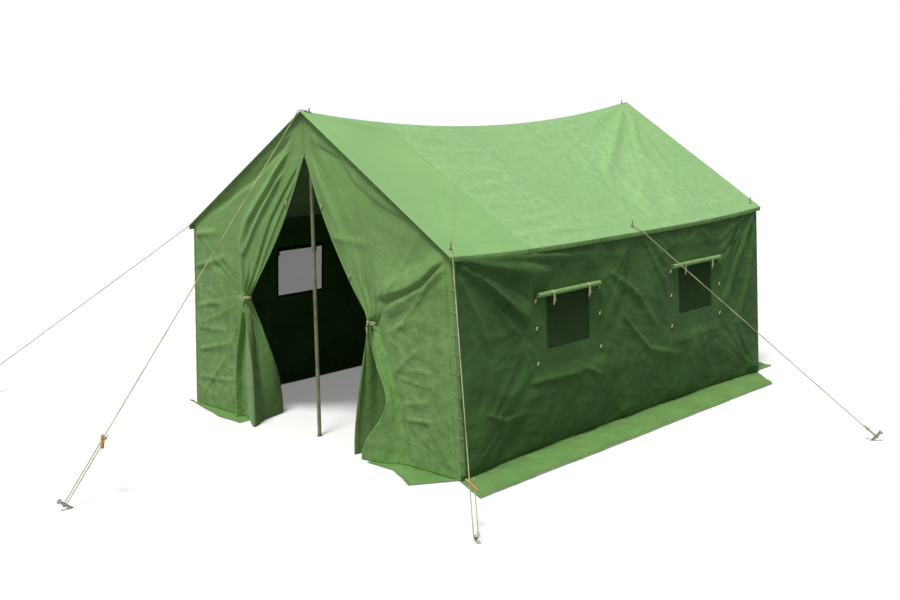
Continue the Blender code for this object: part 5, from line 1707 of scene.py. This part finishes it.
def wood_toggle(name: str, spot: Vector, way: Vector, carry: Carry, length: float = 0.036) -> None:
    """A turned toggle with a waist, held by a loop of cord.

    Args:
        name: The piece's name.
        spot: Its middle.
        way: Direction of its length.
        carry: Function that makes a piece move with its body.
        length: Of the toggle.
    """
    half, radius = length / 2, 0.0062
    upper = [(0, half), (radius * 0.7, half - 0.001), (radius, half - 0.005), (radius * 0.86, 0.005)]
    lower = [(wide, -height) for wide, height in upper[::-1]]
    profile = upper + [(radius * 0.66, 0.0)] + lower
    turned = way.to_track_quat("Z", "Y").to_matrix().to_4x4()
    made = turned_object(name, profile, Matrix.Translation(spot) @ turned, TOGGLE_WOOD, 16)
    carry(made)
    angle = np.linspace(0, math.tau, 18)
    ring = stacked(0.0052 * np.cos(angle), 0.0052 * np.sin(angle), 0)
    ring = ring @ np.array(turned.to_3x3()).T + np.array(spot)
    cord = tube_object(name + "_cord", ring, 0.0018, COTTON_LINE, 8, np.array(turned.to_3x3()) @ [0, 0, 1])
    carry(cord)


@dataclass
class SodCloth:
    """The mud flaps: strips sewn to the foot of each wall, spread on the ground and slit at the corners."""

    shape: TentShape = SHAPE
    reach: float = 0.330        # out from a side wall's foot
    tuck: float = 0.020         # in under the wall
    rear_reach: float = 0.325
    off_ground: float = 0.0021

    def spread(self, name: str, x: Array, y: Array, rise: Array, seed: int) -> Piece:
        """Lay one strip down: its height is a floor of cloth plus wrinkles that grow away from the seam.

        Args:
            name: The CAD node that it stands for.
            x: Across the tent, over the grid.
            y: Along the tent.
            rise: Share of the way from the seam to the free edge.
            seed: Which wrinkles.

        Returns:
            The strip.
        """
        wrinkle = noise(x, y, 0.13, seed, 3)
        swell = 0.016 * np.clip(wrinkle + 0.10, 0, 1) * ramp(rise, 0.10, 0.45)
        swell += 0.010 * (1 - np.abs(noise(x * 0.6, y * 0.6, 0.16, seed + 5))) ** 6 * ramp(rise, 0.10, 0.40)
        curl = 0.006 * ramp(rise, 0.90, 1.0) * (0.5 + 0.5 * noise(x, y, 0.11, seed + 2))
        z = self.off_ground + swell + curl
        # Towards the seam at the wall the cloth darkens: painted shade from the wall's foot.
        masks = {"seam": bands(rise, (0.93,), 0.03), "soil": ramp(rise, 0.5, 0.0)}
        grid = Grid(stacked(x, y, z), stacked(x, y), masks)
        made = sheet_object("sod_cloth_" + name.removeprefix("mud_flap_"), grid, (0, 0, 1), SOD_CLOTH, 0.0018)
        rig.replaces(made, name)
        return made

    def build(self) -> None:
        """Make the strips of both sides, the rear and the two front corners."""
        shape = self.shape
        foot = shape.wall_x(0.0)
        u, v = np.meshgrid(np.linspace(0, 1, 250), np.linspace(0, 1, 26))
        for side, slant in ((Side.RIGHT, -0.170), (Side.LEFT, 0.340)):
            seam_y = -2.1 + 4.2 * u
            seam_x = foot - self.tuck - shape.foot_bow(np.clip(seam_y, -2.08, 2.08), 0.0)
            edge_y = slant - 2.1 + (3.86 - slant) * u
            wander = 0.006 * noise(edge_y, edge_y * 0, 0.3, 31 + side, 2)
            x = seam_x + (foot + self.reach - 0.006 + wander - seam_x) * v
            y = seam_y + (edge_y - seam_y) * v
            made = self.spread("mud_flap_" + side.key, side * x, y, v, 601 + side)
            settle(made)
            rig.sheet(made, flat=(4.2, self.reach + self.tuck + 0.05), held="laid",
                     rests_on=["wall_canvas_" + side.key], area=4.2 * 0.37)
        inner = foot - self.tuck - 0.0004
        u, v = np.meshgrid(np.linspace(-1, 1, 200), np.linspace(0, 1, 24))
        wander = 0.006 * noise(u, u * 0, 0.2, 41, 2)
        y = 2.08 + (self.rear_reach - 0.006 + wander) * v
        made = self.spread("mud_flap_rear", inner * u, y, v, 611)
        settle(made)
        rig.sheet(made, flat=(2 * inner, self.rear_reach), held="laid", rests_on=["wall_canvas_rear"])
        self.build_front(inner)

    def build_front(self, inner: float) -> None:
        """The two front corners: one pointed, one cut back.

        Args:
            inner: Where the corner's slit is.
        """
        outlines = ((DOORS[1], 0.780, inner, (0.780, 1.061, 1.366, inner), (-2.25, -2.25, -2.405, -2.1)),
                    (DOORS[0], 0.770, 1.6896, (0.770, 1.061, 1.6896), (-2.25, -2.25, -2.1008)))
        for door, start, end, edge_x, edge_y in outlines:
            lines = graded(sorted(set([start, *edge_x, inner, end])), 0.014)
            x, v = np.meshgrid(lines, np.linspace(0, 1, 18))
            near = np.where(x > inner + 1e-6, -2.1006, -2.08)
            far = np.interp(x, edge_x, edge_y)
            y = near + (far - near) * v
            made = self.spread("mud_flap_front_" + door.side.key, door.side * x, y, v, 621 + door.side)
            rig.blend(made, TENT, door.body(), *door.blend_line(False))
            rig.sheet(made, flat=(end - start, 0.33), held="laid",
                     rests_on=[f"front_canvas_{door.side.key}_lower"],
                     area=abs(float(np.trapz(far[-1] - near[-1], x[-1]))))


@dataclass
class CornerLacing:
    """The overlap at a corner: the gable's hem turned round on to the side wall, and its lacing."""

    side: Side
    end: End
    shape: TentShape = SHAPE
    overlap: float = 0.048      # of the hem past the corner
    spacing: float = 0.15       # of the lacing's loops

    def key(self) -> str:
        """The words for this corner in names."""
        return f"{self.side.key}_{self.end.key}"

    def build(self) -> None:
        """Make the flap, then loops of cord up it at uneven heights."""
        self.build_flap()
        uneven = np.random.default_rng(70 + self.side + 3 * self.end).uniform(-0.018, 0.018, 9)
        for number, z in enumerate(np.arange(1, 10) * self.spacing + uneven):
            x = self.shape.wall_x(z) + 0.0040
            face = self.shape.half_length + 0.0030
            knots = [(x - 0.020, face + 0.001, z + 0.004), (x - 0.008, face + 0.0035, z + 0.005),
                     (x + 0.002, face + 0.001, z + 0.001), (x + 0.003, face - 0.018, z - 0.006),
                     (x + 0.001, face - 0.034, z - 0.004)]
            path = even_path(knots, 0.004) * [self.side, self.end, 1]
            name = f"corner_lace_{self.key()}_{number}"
            settle(tube_object(name, path, 0.0018, COTTON_LINE, 8, (0.2, 0.3, 1.0)))

    def build_flap(self) -> None:
        """The hem's strip: level along the gable's edge, then round the corner and along the side wall."""
        shape = self.shape
        z = graded([0.030, 1.575], 0.02)
        turn = np.array([-0.016, -0.006, -0.001, 0.0, 0.001, 0.008, 0.020, 0.032, self.overlap])
        grid_turn, grid_z = np.meshgrid(turn, z)
        wave = 0.0016 * noise(grid_z, grid_turn * 6, 0.11, 81 + self.end, 2) * ramp(grid_turn, 0.004, 0.030)
        x = shape.wall_x(grid_z) + 0.0016 + np.minimum(grid_turn, 0) + np.abs(wave)
        y = shape.half_length + 0.0016 - np.maximum(grid_turn, 0) + 0.004 * wave
        edge = self.overlap - 0.007 + 0.004 * noise(grid_z, grid_z * 0, 0.13, 91, 2)
        # The colour darkens towards the bottom, from 1.2 m down to 0.1 m.
        masks = {"seam": ramp(np.abs(grid_turn - edge), 0.009, 0.005), "soil": ramp(grid_z, 1.2, 0.1)}
        grid = Grid(stacked(self.side * x, self.end * y, grid_z), stacked(grid_turn, grid_z), masks)
        cloth = FRONT_CANVAS if self.end is End.FRONT else SHADED_WALL_CANVAS
        made = sheet_object("corner_flap_" + self.key(), grid, (self.side, self.end, 0), cloth, 0.0012)
        settle(made)
        width = self.overlap + 0.016
        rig.sheet(made, flat=(width, 1.55), held="folded", rests_on=["wall_canvas_" + self.side.key])


# Poles, ropes and pegs


@dataclass
class Pole:
    """A steel pole: turned tube with a foot, a shoulder and a spike through the roof."""

    name: str
    x: float
    y: float
    radius: float
    shape: TentShape = SHAPE
    joint: float = 1.25             # where a ridge pole's two lengths meet
    under_cloth: float = 0.0009     # from the canvas down to the shoulder

    def build(self) -> None:
        """Turn the pole in one or two lengths, and its eyelet, which follows the roof's slope."""
        shape, joint = self.shape, self.joint
        roof = float(shape.roof_height(abs(self.x) + self.radius, self.y))
        slope = math.atan2(shape.ridge - shape.eave, shape.half_width)
        shoulder = roof - shape.cloth / math.cos(slope) - self.under_cloth
        ridge = self.name.startswith("ridge")
        tip = float(shape.roof_height(self.x, self.y)) + (0.032 if ridge else 0.055)
        spike = [(0.005, shoulder - 0.0005), (0.005, tip - 0.008), (0.0042, tip - 0.003),
                 (0.0022, tip - 0.0005), (0, tip)]
        if ridge:
            spigot = [(0.0132, joint), (0.0132, joint + 0.107), (0.0120, joint + 0.110), (0, joint + 0.110)]
            self.turned(self.name + "_lower", 0.0, joint, spigot)
            self.turned(self.name + "_upper", joint + 0.0003, shoulder, spike)
        else:
            self.turned(self.name, 0.0, shoulder, spike)
        self.build_eyelet()

    def turned(self, node: str, low: float, high: float, end: list[Pair]) -> None:
        """Turn one length from its profile.

        Args:
            node: The CAD node that it stands for.
            low: Its lower end.
            high: Its shoulder.
            end: Profile of its spigot or spike.
        """
        radius, wall = self.radius, 0.0015
        profile = [(0, high - 0.006), (radius - wall, high - 0.006), (radius - wall, low)]
        if low == 0:
            profile += [(radius + 0.006, 0), (radius + 0.007, 0.001), (radius + 0.007, 0.0045),
                        (radius + 0.005, 0.006), (radius + 0.0015, 0.0068), (radius, 0.009)]
        else:
            profile += [(radius - 0.0003, low), (radius, low + 0.0006), (radius + 0.0008, low + 0.003),
                        (radius + 0.0008, low + 0.014), (radius, low + 0.017)]
        profile += [(radius, high - 0.0012), (radius - 0.0012, high)] + end
        place = Matrix.Translation((self.x, self.y, 0))
        settle(turned_object("tube_" + node, profile, place, POLE_ENAMEL, 36), node)

    def build_eyelet(self) -> None:
        """The eyelet: a domed flange with a rolled lip, each point raised by the roof's height there."""
        lift = 0.0005
        barrel = [(0.0054, -0.0028), (0.0070, -0.0028), (0.0070, lift), (0.0126, lift)]
        dome = [(0.0130, lift + 0.0005), (0.0122, lift + 0.0010), (0.0090, lift + 0.0016),
                (0.0066, lift + 0.0019), (0.0056, lift + 0.0013)]
        node = self.name.replace("pole", "eyelet")
        place = Matrix.Translation((self.x, self.y, 0))
        made = turned_object("ring_" + node, barrel + dome, place, EYELET_BRASS, 28)
        count = len(made.data.vertices)
        points = np.empty(count * 3)
        made.data.vertices.foreach_get("co", points)
        points = points.reshape(-1, 3)
        points[:, 2] += self.shape.roof_height(points[:, 0], points[:, 1])
        made.data.vertices.foreach_set("co", points.ravel())
        made.data.update()
        settle(made, node)


def pole_set() -> list[Pole]:
    """All eight poles.

    Returns:
        The two ridge poles, then the side poles of the right and of the left.
    """
    names = ["ridge_pole_front", "ridge_pole_rear"]
    spots = ("front", "middle", "rear")
    names += [f"side_pole_{side.key}_{spot}" for side in Side for spot in spots]
    return [Pole(name, *place) for name, place in zip(names, SHAPE.pole_tops())]


class RopeFrame(NamedTuple):
    """Where a guy rope runs."""

    edge: Vector        # just past the roof's edge
    down: Vector        # direction down the rope
    across: Vector      # level, across it
    up: Vector          # along its peg, away from the ground
    middle: Vector      # of the rope's turn round the peg

    def helix(self, at: Vector, turns: float, wide: float, high: float, length: float) -> Array:
        """Turns of line about a point of the rope, which climb it.

        Formula: at + cos(angle) * wide * across + sin(angle) * high * up - share * length * down.

        Args:
            at: Middle of the first turn.
            turns: Number of turns.
            wide: Half their width, across the rope.
            high: Half their height.
            length: How far they climb.

        Returns:
            The middle line.
        """
        angle = np.linspace(0, math.tau * turns, 90)[:, None]
        ring = np.cos(angle) * wide * np.array(self.across) + np.sin(angle) * high * np.array(self.up)
        return np.array(at) + ring - angle / angle[-1] * length * np.array(self.down)


@dataclass
class GuyRope:
    """A guy rope: an eye on its spike, a straight run to its peg, the peg, and its runner if any."""

    name: str
    pole: Pair
    peg: Pair
    from_peg: float | None      # of its runner, along the rope
    shape: TentShape = SHAPE
    diameter: float = 0.0070
    over_roof: float = 0.0025   # from the roof up to the rope's underside, over the eyelet
    turn: float = 0.0149        # radius of the rope's bend round its peg
    bend_height: float = 0.036  # height of that bend
    tilt: float = math.radians(48)      # of the runner, when the rope is tight

    def __post_init__(self) -> None:
        """Work out where the rope runs, as the frame does."""
        start = np.array(self.pole)
        level = np.array(self.peg) - start
        level = level / np.linalg.norm(level)
        limits = np.array([self.shape.half_width, self.shape.half_length]) + self.shape.overhang
        past = min((limit - abs(at)) / abs(go)
                   for limit, at, go in zip(limits, start, level) if abs(go) > 0.05)
        roof = float(self.shape.roof_height(*(start + level * past)))
        edge = Vector((*(start + level * (past + 0.012)), roof + self.lift()))
        end = Vector((*self.peg, self.bend_height))
        down = (end + Vector((level[1], -level[0], 0)) * self.turn - edge).normalized()
        across = down.cross(Vector((0, 0, 1))).normalized()
        up = down.cross(across).normalized()
        end = end + Vector((level[1], -level[0], 0)) * self.turn - across * self.turn
        self.run = RopeFrame(edge, down, across, up if up.z > 0 else -up, end)

    def body(self) -> str:
        """The body of the runner, or the tent where there is none."""
        return f"rope_runner_{self.name}" if self.from_peg else TENT

    def lift(self) -> float:
        """Height of the rope's middle off the roof."""
        return self.over_roof + self.diameter / 2

    def route(self) -> tuple[Array, Array]:
        """Middle lines of the two strands, which meet at the back of the peg.

        Returns:
            The standing strand from its eye to the peg, and the strand that comes back up.
        """
        edge, down, across, _, middle = self.run
        start = np.array(self.pole)
        heading = math.atan2(self.peg[1] - start[1], self.peg[0] - start[0])
        turns = np.radians([322, 290, 250, 210, 180, 150, 110, 70, 38]) + heading
        eye = start + 0.015 * stacked(np.cos(turns), np.sin(turns))
        before = [start + (np.array(edge[:2]) - start) * share for share in (0.55, 0.75)]
        flat = np.vstack([eye, before])
        on_roof = np.column_stack([flat, self.shape.roof_height(flat[:, 0], flat[:, 1]) + self.lift()])
        beside = middle + across * self.turn
        first = [edge, edge + down * 0.030 + Vector((0, 0, 0.002)), edge + down * 0.12]
        straight = [edge + down * (beside - edge).length * share for share in (0.3, 0.5, 0.7, 0.9)]
        last = [beside - down * 0.05, beside - down * 0.012]
        round_peg = [middle + (across * math.cos(a) + down * math.sin(a)) * self.turn
                     for a in np.radians(np.arange(0, 181, 30))]
        length = self.from_peg + self.knot_height() + 0.034 if self.from_peg else 0.120
        spots = (0.06, 0.2, 0.4, 0.6, 0.8, 1) if self.from_peg else (0.25, 0.6, 1)
        rise = [middle - across * self.turn - down * length * share for share in spots]
        standing = np.vstack([on_roof, np.array(first + straight + last + round_peg[:4])])
        return even_path(standing, 0.0045), even_path(np.array(round_peg[3:] + rise), 0.0045)

    def knot_height(self) -> float:
        """From the runner's middle up to the knot, along the rope."""
        return 0.006 / math.cos(self.tilt) + 0.0095 * math.tan(self.tilt) + 0.0004

    def build(self) -> None:
        """Make the strands, the peg, the whipping at the eye, and the runner with its knot."""
        standing, back = self.route()
        half, side = self.diameter / 2, (0.3, 0.2, 1.0)
        rope = tube_object("guy_line_" + self.name, standing, half, COTTON_LINE, 12, side, 3, 0.030)
        tail = tube_object("guy_return_" + self.name, back, half, COTTON_LINE, 12, side, 3, 0.030)
        settle(rope, "guy_rope_" + self.name)
        run, knot = self.run, self.knot_height() + 0.0036
        if self.from_peg:
            below = run.middle - run.down * (self.from_peg - 0.05)
            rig.blend(tail, TENT, self.body(), tuple(run.middle), tuple(below))
            base = run.middle - run.down * (self.from_peg + knot) - run.across * self.turn
            stop = self.turned_line("stopper_knot_", run.helix(base, 2.4, 0.0064, 0.0064, 0.0100))
            knots = [self.build_runner(), settle(stop, f"runner_{self.name}_knot", self.body())]
        else:
            settle(tail)
            hitch = run.helix(run.middle - run.down * 0.075, 2.0, self.turn + 0.0065, 0.0068, 0.0140)
            knots = [settle(self.turned_line("hitch_", hitch))]
        ends = [self.build_eye(standing), self.build_peg()]
        for piece, path, end, held in ((rope, standing, "object", ends), (tail, back, "knot", knots)):
            length = float(run_along(path)[-1])
            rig.cord(piece, exit=tuple(path[0]), length=length, diameter=self.diameter, far_end=end,
                    stiffness="limp", lay="taut", path=path.tolist(), with_pieces=held)
            log.info("%s: %.2f m", piece.name, length)

    def turned_line(self, name: str, path: Array) -> Piece:
        """Rope turned about itself, in a knot or a hitch."""
        return tube_object(name + self.name, path, 0.0034, COTTON_LINE, 10, tuple(self.run.down), 3, 0.030)

    def build_eye(self, standing: Array) -> Piece:
        """The whipping that closes the eye: a close helix of twine round both strands.

        Args:
            standing: The rope's middle line.

        Returns:
            The whipping.
        """
        at = int(np.searchsorted(run_along(standing), 0.098))
        along = Vector(standing[at + 4] - standing[at]).normalized()
        side = Vector((0, 0, 1)).cross(along).normalized()
        here = self.run._replace(down=-along, across=side, up=along.cross(side))
        path = here.helix(Vector(standing[at]), 7, 0.0050, 0.0044, 0.016)
        return settle(tube_object("guy_whipping_" + self.name, path, 0.0013, COTTON_LINE, 6, tuple(along)))

    def build_peg(self) -> Piece:
        """The steel peg: turned with a rounded head, square to its rope, and cut off at the ground.

        Returns:
            The peg.
        """
        place = Matrix.Translation(self.run.middle) @ facing_matrix(self.run.up, self.run.down)
        head = 0.055
        profile = [(0, -0.14), (0.011, -0.14), (0.011, head - 0.0105), (0.0125, head - 0.009),
                   (0.0182, head - 0.009), (0.019, head - 0.008), (0.019, head - 0.003),
                   (0.0170, head - 0.0006), (0.012, head), (0, head)]
        made = turned_object("steel_peg_" + self.name, profile, place, PEG_ZINC, 28)
        cut_at_ground(made)
        return settle(made, "peg_" + self.name)

    def build_runner(self) -> Piece:
        """The runner: a board with round ends and two bored holes, its edges eased.

        Formula: a stadium outline (two half circles joined by straight sides) raised to its thickness.

        Returns:
            The runner.
        """
        down, across, up = self.run.down, self.run.across, self.run.up
        centre = self.run.middle - down * self.from_peg
        along = (across * math.cos(self.tilt) - down * math.sin(self.tilt)).normalized()
        through = along.cross(up).normalized()
        turned = Matrix((along, through.cross(along), through)).transposed().to_4x4()
        place = Matrix.Translation(centre) @ turned
        half, end, thick = 0.0575, 0.014, 0.012
        angle = np.concatenate([np.linspace(-90, 90, 17), np.linspace(90, 270, 17)])
        shift = np.repeat([half - end, end - half], 17)
        outline = stacked(shift + end * np.cos(np.radians(angle)), end * np.sin(np.radians(angle)))
        shape = bmesh.new()
        verts = [shape.verts.new((x, y, -thick / 2)) for x, y in outline]
        base = shape.faces.new(verts)
        grown = bmesh.ops.extrude_face_region(shape, geom=[base])
        moved = [item for item in grown["geom"] if isinstance(item, bmesh.types.BMVert)]
        bmesh.ops.translate(shape, vec=(0, 0, thick), verts=moved)
        bmesh.ops.recalc_face_normals(shape, faces=shape.faces[:])
        rims = [e for e in shape.edges if abs(e.verts[0].co.z - e.verts[1].co.z) < 1e-6]
        bmesh.ops.bevel(shape, geom=rims, offset=0.0022, segments=3, affect="EDGES", profile=0.5)
        layer = shape.loops.layers.uv.new("cloth")
        for face in shape.faces:
            for loop in face.loops:
                loop[layer].uv = (loop.vert.co.x, loop.vert.co.y + loop.vert.co.z)
        mesh = bpy.data.meshes.new("runner")
        bmesh.ops.transform(shape, matrix=place, verts=shape.verts[:])
        shape.to_mesh(mesh)
        shape.free()
        made = bpy.data.objects.new("wooden_runner_" + self.name, mesh)
        bpy.context.scene.collection.objects.link(made)
        dress(made, RUNNER_BEECH)
        tools = []
        for way in (1, -1):
            spot = Matrix.Translation(centre + across * way * self.turn) @ facing_matrix(down, across)
            tools.append(turned_object("bore", [(0, -0.06), (0.0042, -0.06), (0.0042, 0.06), (0, 0.06)], spot,
                                       RUNNER_BEECH, 24))
        settle_cuts(made, tools)
        return settle(made, "runner_" + self.name, self.body())


def facing_matrix(direction: Vector, side: Vector) -> Matrix:
    """A turn whose +Z runs along one direction, and whose +Y follows another.

    Args:
        direction: For +Z.
        side: For +Y, as nearly as square to the first allows.

    Returns:
        The matrix.
    """
    z = direction.normalized()
    x = side.cross(z).normalized()
    return Matrix((x, z.cross(x), z)).transposed().to_4x4()


def cut_at_ground(made: Piece) -> None:
    """Take away what lies below the ground and close the cut.

    Args:
        made: The piece.
    """
    shape = bmesh.new()
    shape.from_mesh(made.data)
    whole = shape.verts[:] + shape.edges[:] + shape.faces[:]
    cut = bmesh.ops.bisect_plane(shape, geom=whole, plane_co=(0, 0, 0.0002), plane_no=(0, 0, 1),
                                 clear_inner=True)
    edges = [item for item in cut["geom_cut"] if isinstance(item, bmesh.types.BMEdge)]
    bmesh.ops.edgeloop_fill(shape, edges=edges)
    bmesh.ops.recalc_face_normals(shape, faces=shape.faces[:])
    shape.to_mesh(made.data)
    shape.free()
    sharpen(made)


def settle_cuts(made: Piece, tools: list[Piece]) -> None:
    """Cut the tools' shapes out of a piece, keep the result as its mesh, and take the tools away.

    Args:
        made: The piece.
        tools: Closed shapes.
    """
    for tool in tools:
        cut = made.modifiers.new("bore", "BOOLEAN")
        cut.operation = "DIFFERENCE"
        cut.solver = "EXACT"
        cut.object = tool
    settled = bpy.data.meshes.new_from_object(made.evaluated_get(bpy.context.evaluated_depsgraph_get()))
    made.modifiers.clear()
    made.data = settled
    for tool in tools:
        bpy.data.objects.remove(tool)
    sharpen(made)


# The ropes that the photograph shows; the last has no runner.
ROPES = (GuyRope("front_ridge", (0.0, -2.04), (0.0, -4.23), 0.470),
         GuyRope("front_right", (1.465, -2.05), (2.39, -2.84), 0.317),
         GuyRope("front_left", (-1.465, -2.05), (-3.5, -3.3), 0.330),
         GuyRope("middle_right", (1.465, 0.12), (3.344, 0.70), None))


# The studio


def seen_by(tree: Nodes, kinds: tuple[str, ...]) -> Socket:
    """A value that is 1 for light paths of some kinds, and 0 for the rest.

    Args:
        tree: The nodes to add to.
        kinds: Such as Camera or Glossy.

    Returns:
        The value's socket.
    """
    seen, *others = (add_node(tree, "LightPath", {}, f"Is {kind} Ray") for kind in kinds)
    for other in others:
        seen = add_node(tree, "Math", {"operation": "MAXIMUM", 0: seen, 1: other})
    return seen


@dataclass
class Studio:
    """A pale floor, one wide soft sun with pale light all round, and the camera of the photograph."""

    azimuth: float = 43.348         # of the camera, in degrees, like the next two
    elevation: float = 10.350
    roll: float = -0.665
    place: Triple = (6.816, -7.734, 2.696)
    focal: float = 46.09            # millimetres, on a sensor 36 mm wide
    to_light: Triple = (0.14, -0.39, 0.91)
    sun: float = 2.75               # the lamp's strength, and then that of the pale surroundings
    ambient: float = 0.35

    def build(self) -> None:
        """Set the camera, the lamp, the world and the floor."""
        scene = bpy.context.scene
        scene.view_settings.view_transform = "Standard"
        camera = bpy.data.objects.new("camera", bpy.data.cameras.new("camera"))
        camera.data.lens, camera.data.sensor_width = self.focal, 36.0
        az, el, roll = (math.radians(value) for value in (self.azimuth, self.elevation, self.roll))
        back = Vector((math.sin(az) * math.cos(el), -math.cos(az) * math.cos(el), math.sin(el)))
        right = Vector((math.cos(az), math.sin(az), 0))
        up = back.cross(right)
        x = right * math.cos(roll) + up * math.sin(roll)
        y = up * math.cos(roll) - right * math.sin(roll)
        camera.matrix_world = Matrix.Translation(self.place) @ Matrix((x, y, back)).transposed().to_4x4()
        scene.collection.objects.link(camera)
        scene.camera = camera
        lamp = bpy.data.objects.new("sun", bpy.data.lights.new("sun", "SUN"))
        lamp.data.energy, lamp.data.angle = self.sun, math.radians(14)
        lamp.rotation_euler = Vector(self.to_light).to_track_quat("Z", "Y").to_euler()
        scene.collection.objects.link(lamp)
        self.build_world()
        self.build_floor()

    def build_world(self) -> None:
        """Even pale light from all round, white where the camera or a reflection sees it."""
        world = bpy.data.worlds.new("studio")
        bpy.context.scene.world = world
        world.use_nodes = True
        tree = world.node_tree
        tree.nodes.clear()
        lit, shown = (add_node(tree, "Background", {"Color": linear("#FFFFFF"), "Strength": level})
                      for level in (self.ambient, 1.0))
        seen = seen_by(tree, ("Camera", "Transmission", "Glossy"))
        add_node(tree, "OutputWorld", {"Surface": add_node(tree, "MixShader", {0: seen, 1: lit, 2: shown})})

    def build_floor(self) -> None:
        """A round floor, brightened towards white where the camera sees it lit, so that its shadow stays."""
        angle = np.linspace(0, math.tau, 97)[:-1]
        points = stacked(60.0 * np.cos(angle), 60.0 * np.sin(angle), -0.0006)
        mesh = bpy.data.meshes.new("floor")
        mesh.from_pydata(points.tolist(), [], [list(range(len(points)))])
        floor = bpy.data.objects.new("floor", mesh)
        bpy.context.scene.collection.objects.link(floor)
        made = bpy.data.materials.new("pale_studio_floor")
        made.use_nodes = True
        tree = made.node_tree
        tree.nodes.clear()
        grey = add_node(tree, "BsdfDiffuse", {"Color": linear("#84857E")})
        matte = add_node(tree, "BsdfDiffuse", {"Color": linear("#E9E9E6")})
        glow = add_node(tree, "Emission", {"Color": linear("#FFFFFF"), "Strength": 0.22})
        both = add_node(tree, "AddShader", {0: matte, 1: glow})
        seen = seen_by(tree, ("Camera", "Glossy"))
        mixed = add_node(tree, "MixShader", {0: seen, 1: grey, 2: both})
        add_node(tree, "OutputMaterial", {"Surface": mixed})
        mesh.materials.append(made)
        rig.stage(floor)


def main() -> None:
    """Dress the frame, sub-assembly by sub-assembly, and report each piece."""
    logging.basicConfig(level=logging.INFO, format="%(message)s")
    before = [[float(value) for value in corner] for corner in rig.bounds()]
    Studio().build()
    walls = (SideWall(Side.RIGHT), SideWall(Side.LEFT), RearWall())
    corners = [CornerLacing(side, end) for side in Side for end in End]
    for part in (*ROPES, Roof(), *walls, *WINDOWS, *DOORS, SodCloth(), *pole_set(), *corners):
        known = set(bpy.data.objects.keys())
        part.build()
        for name in sorted(set(bpy.data.objects.keys()) - known):
            log.info("%s: %s", type(part).__name__, name)
    after = [[float(value) for value in corner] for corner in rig.bounds()]
    with open(SIZE_FILE, "w", encoding="utf-8") as out:
        json.dump({"cad": before, "visual": after}, out)
    log.info("sizes written")


if __name__ == "__main__":
    main()
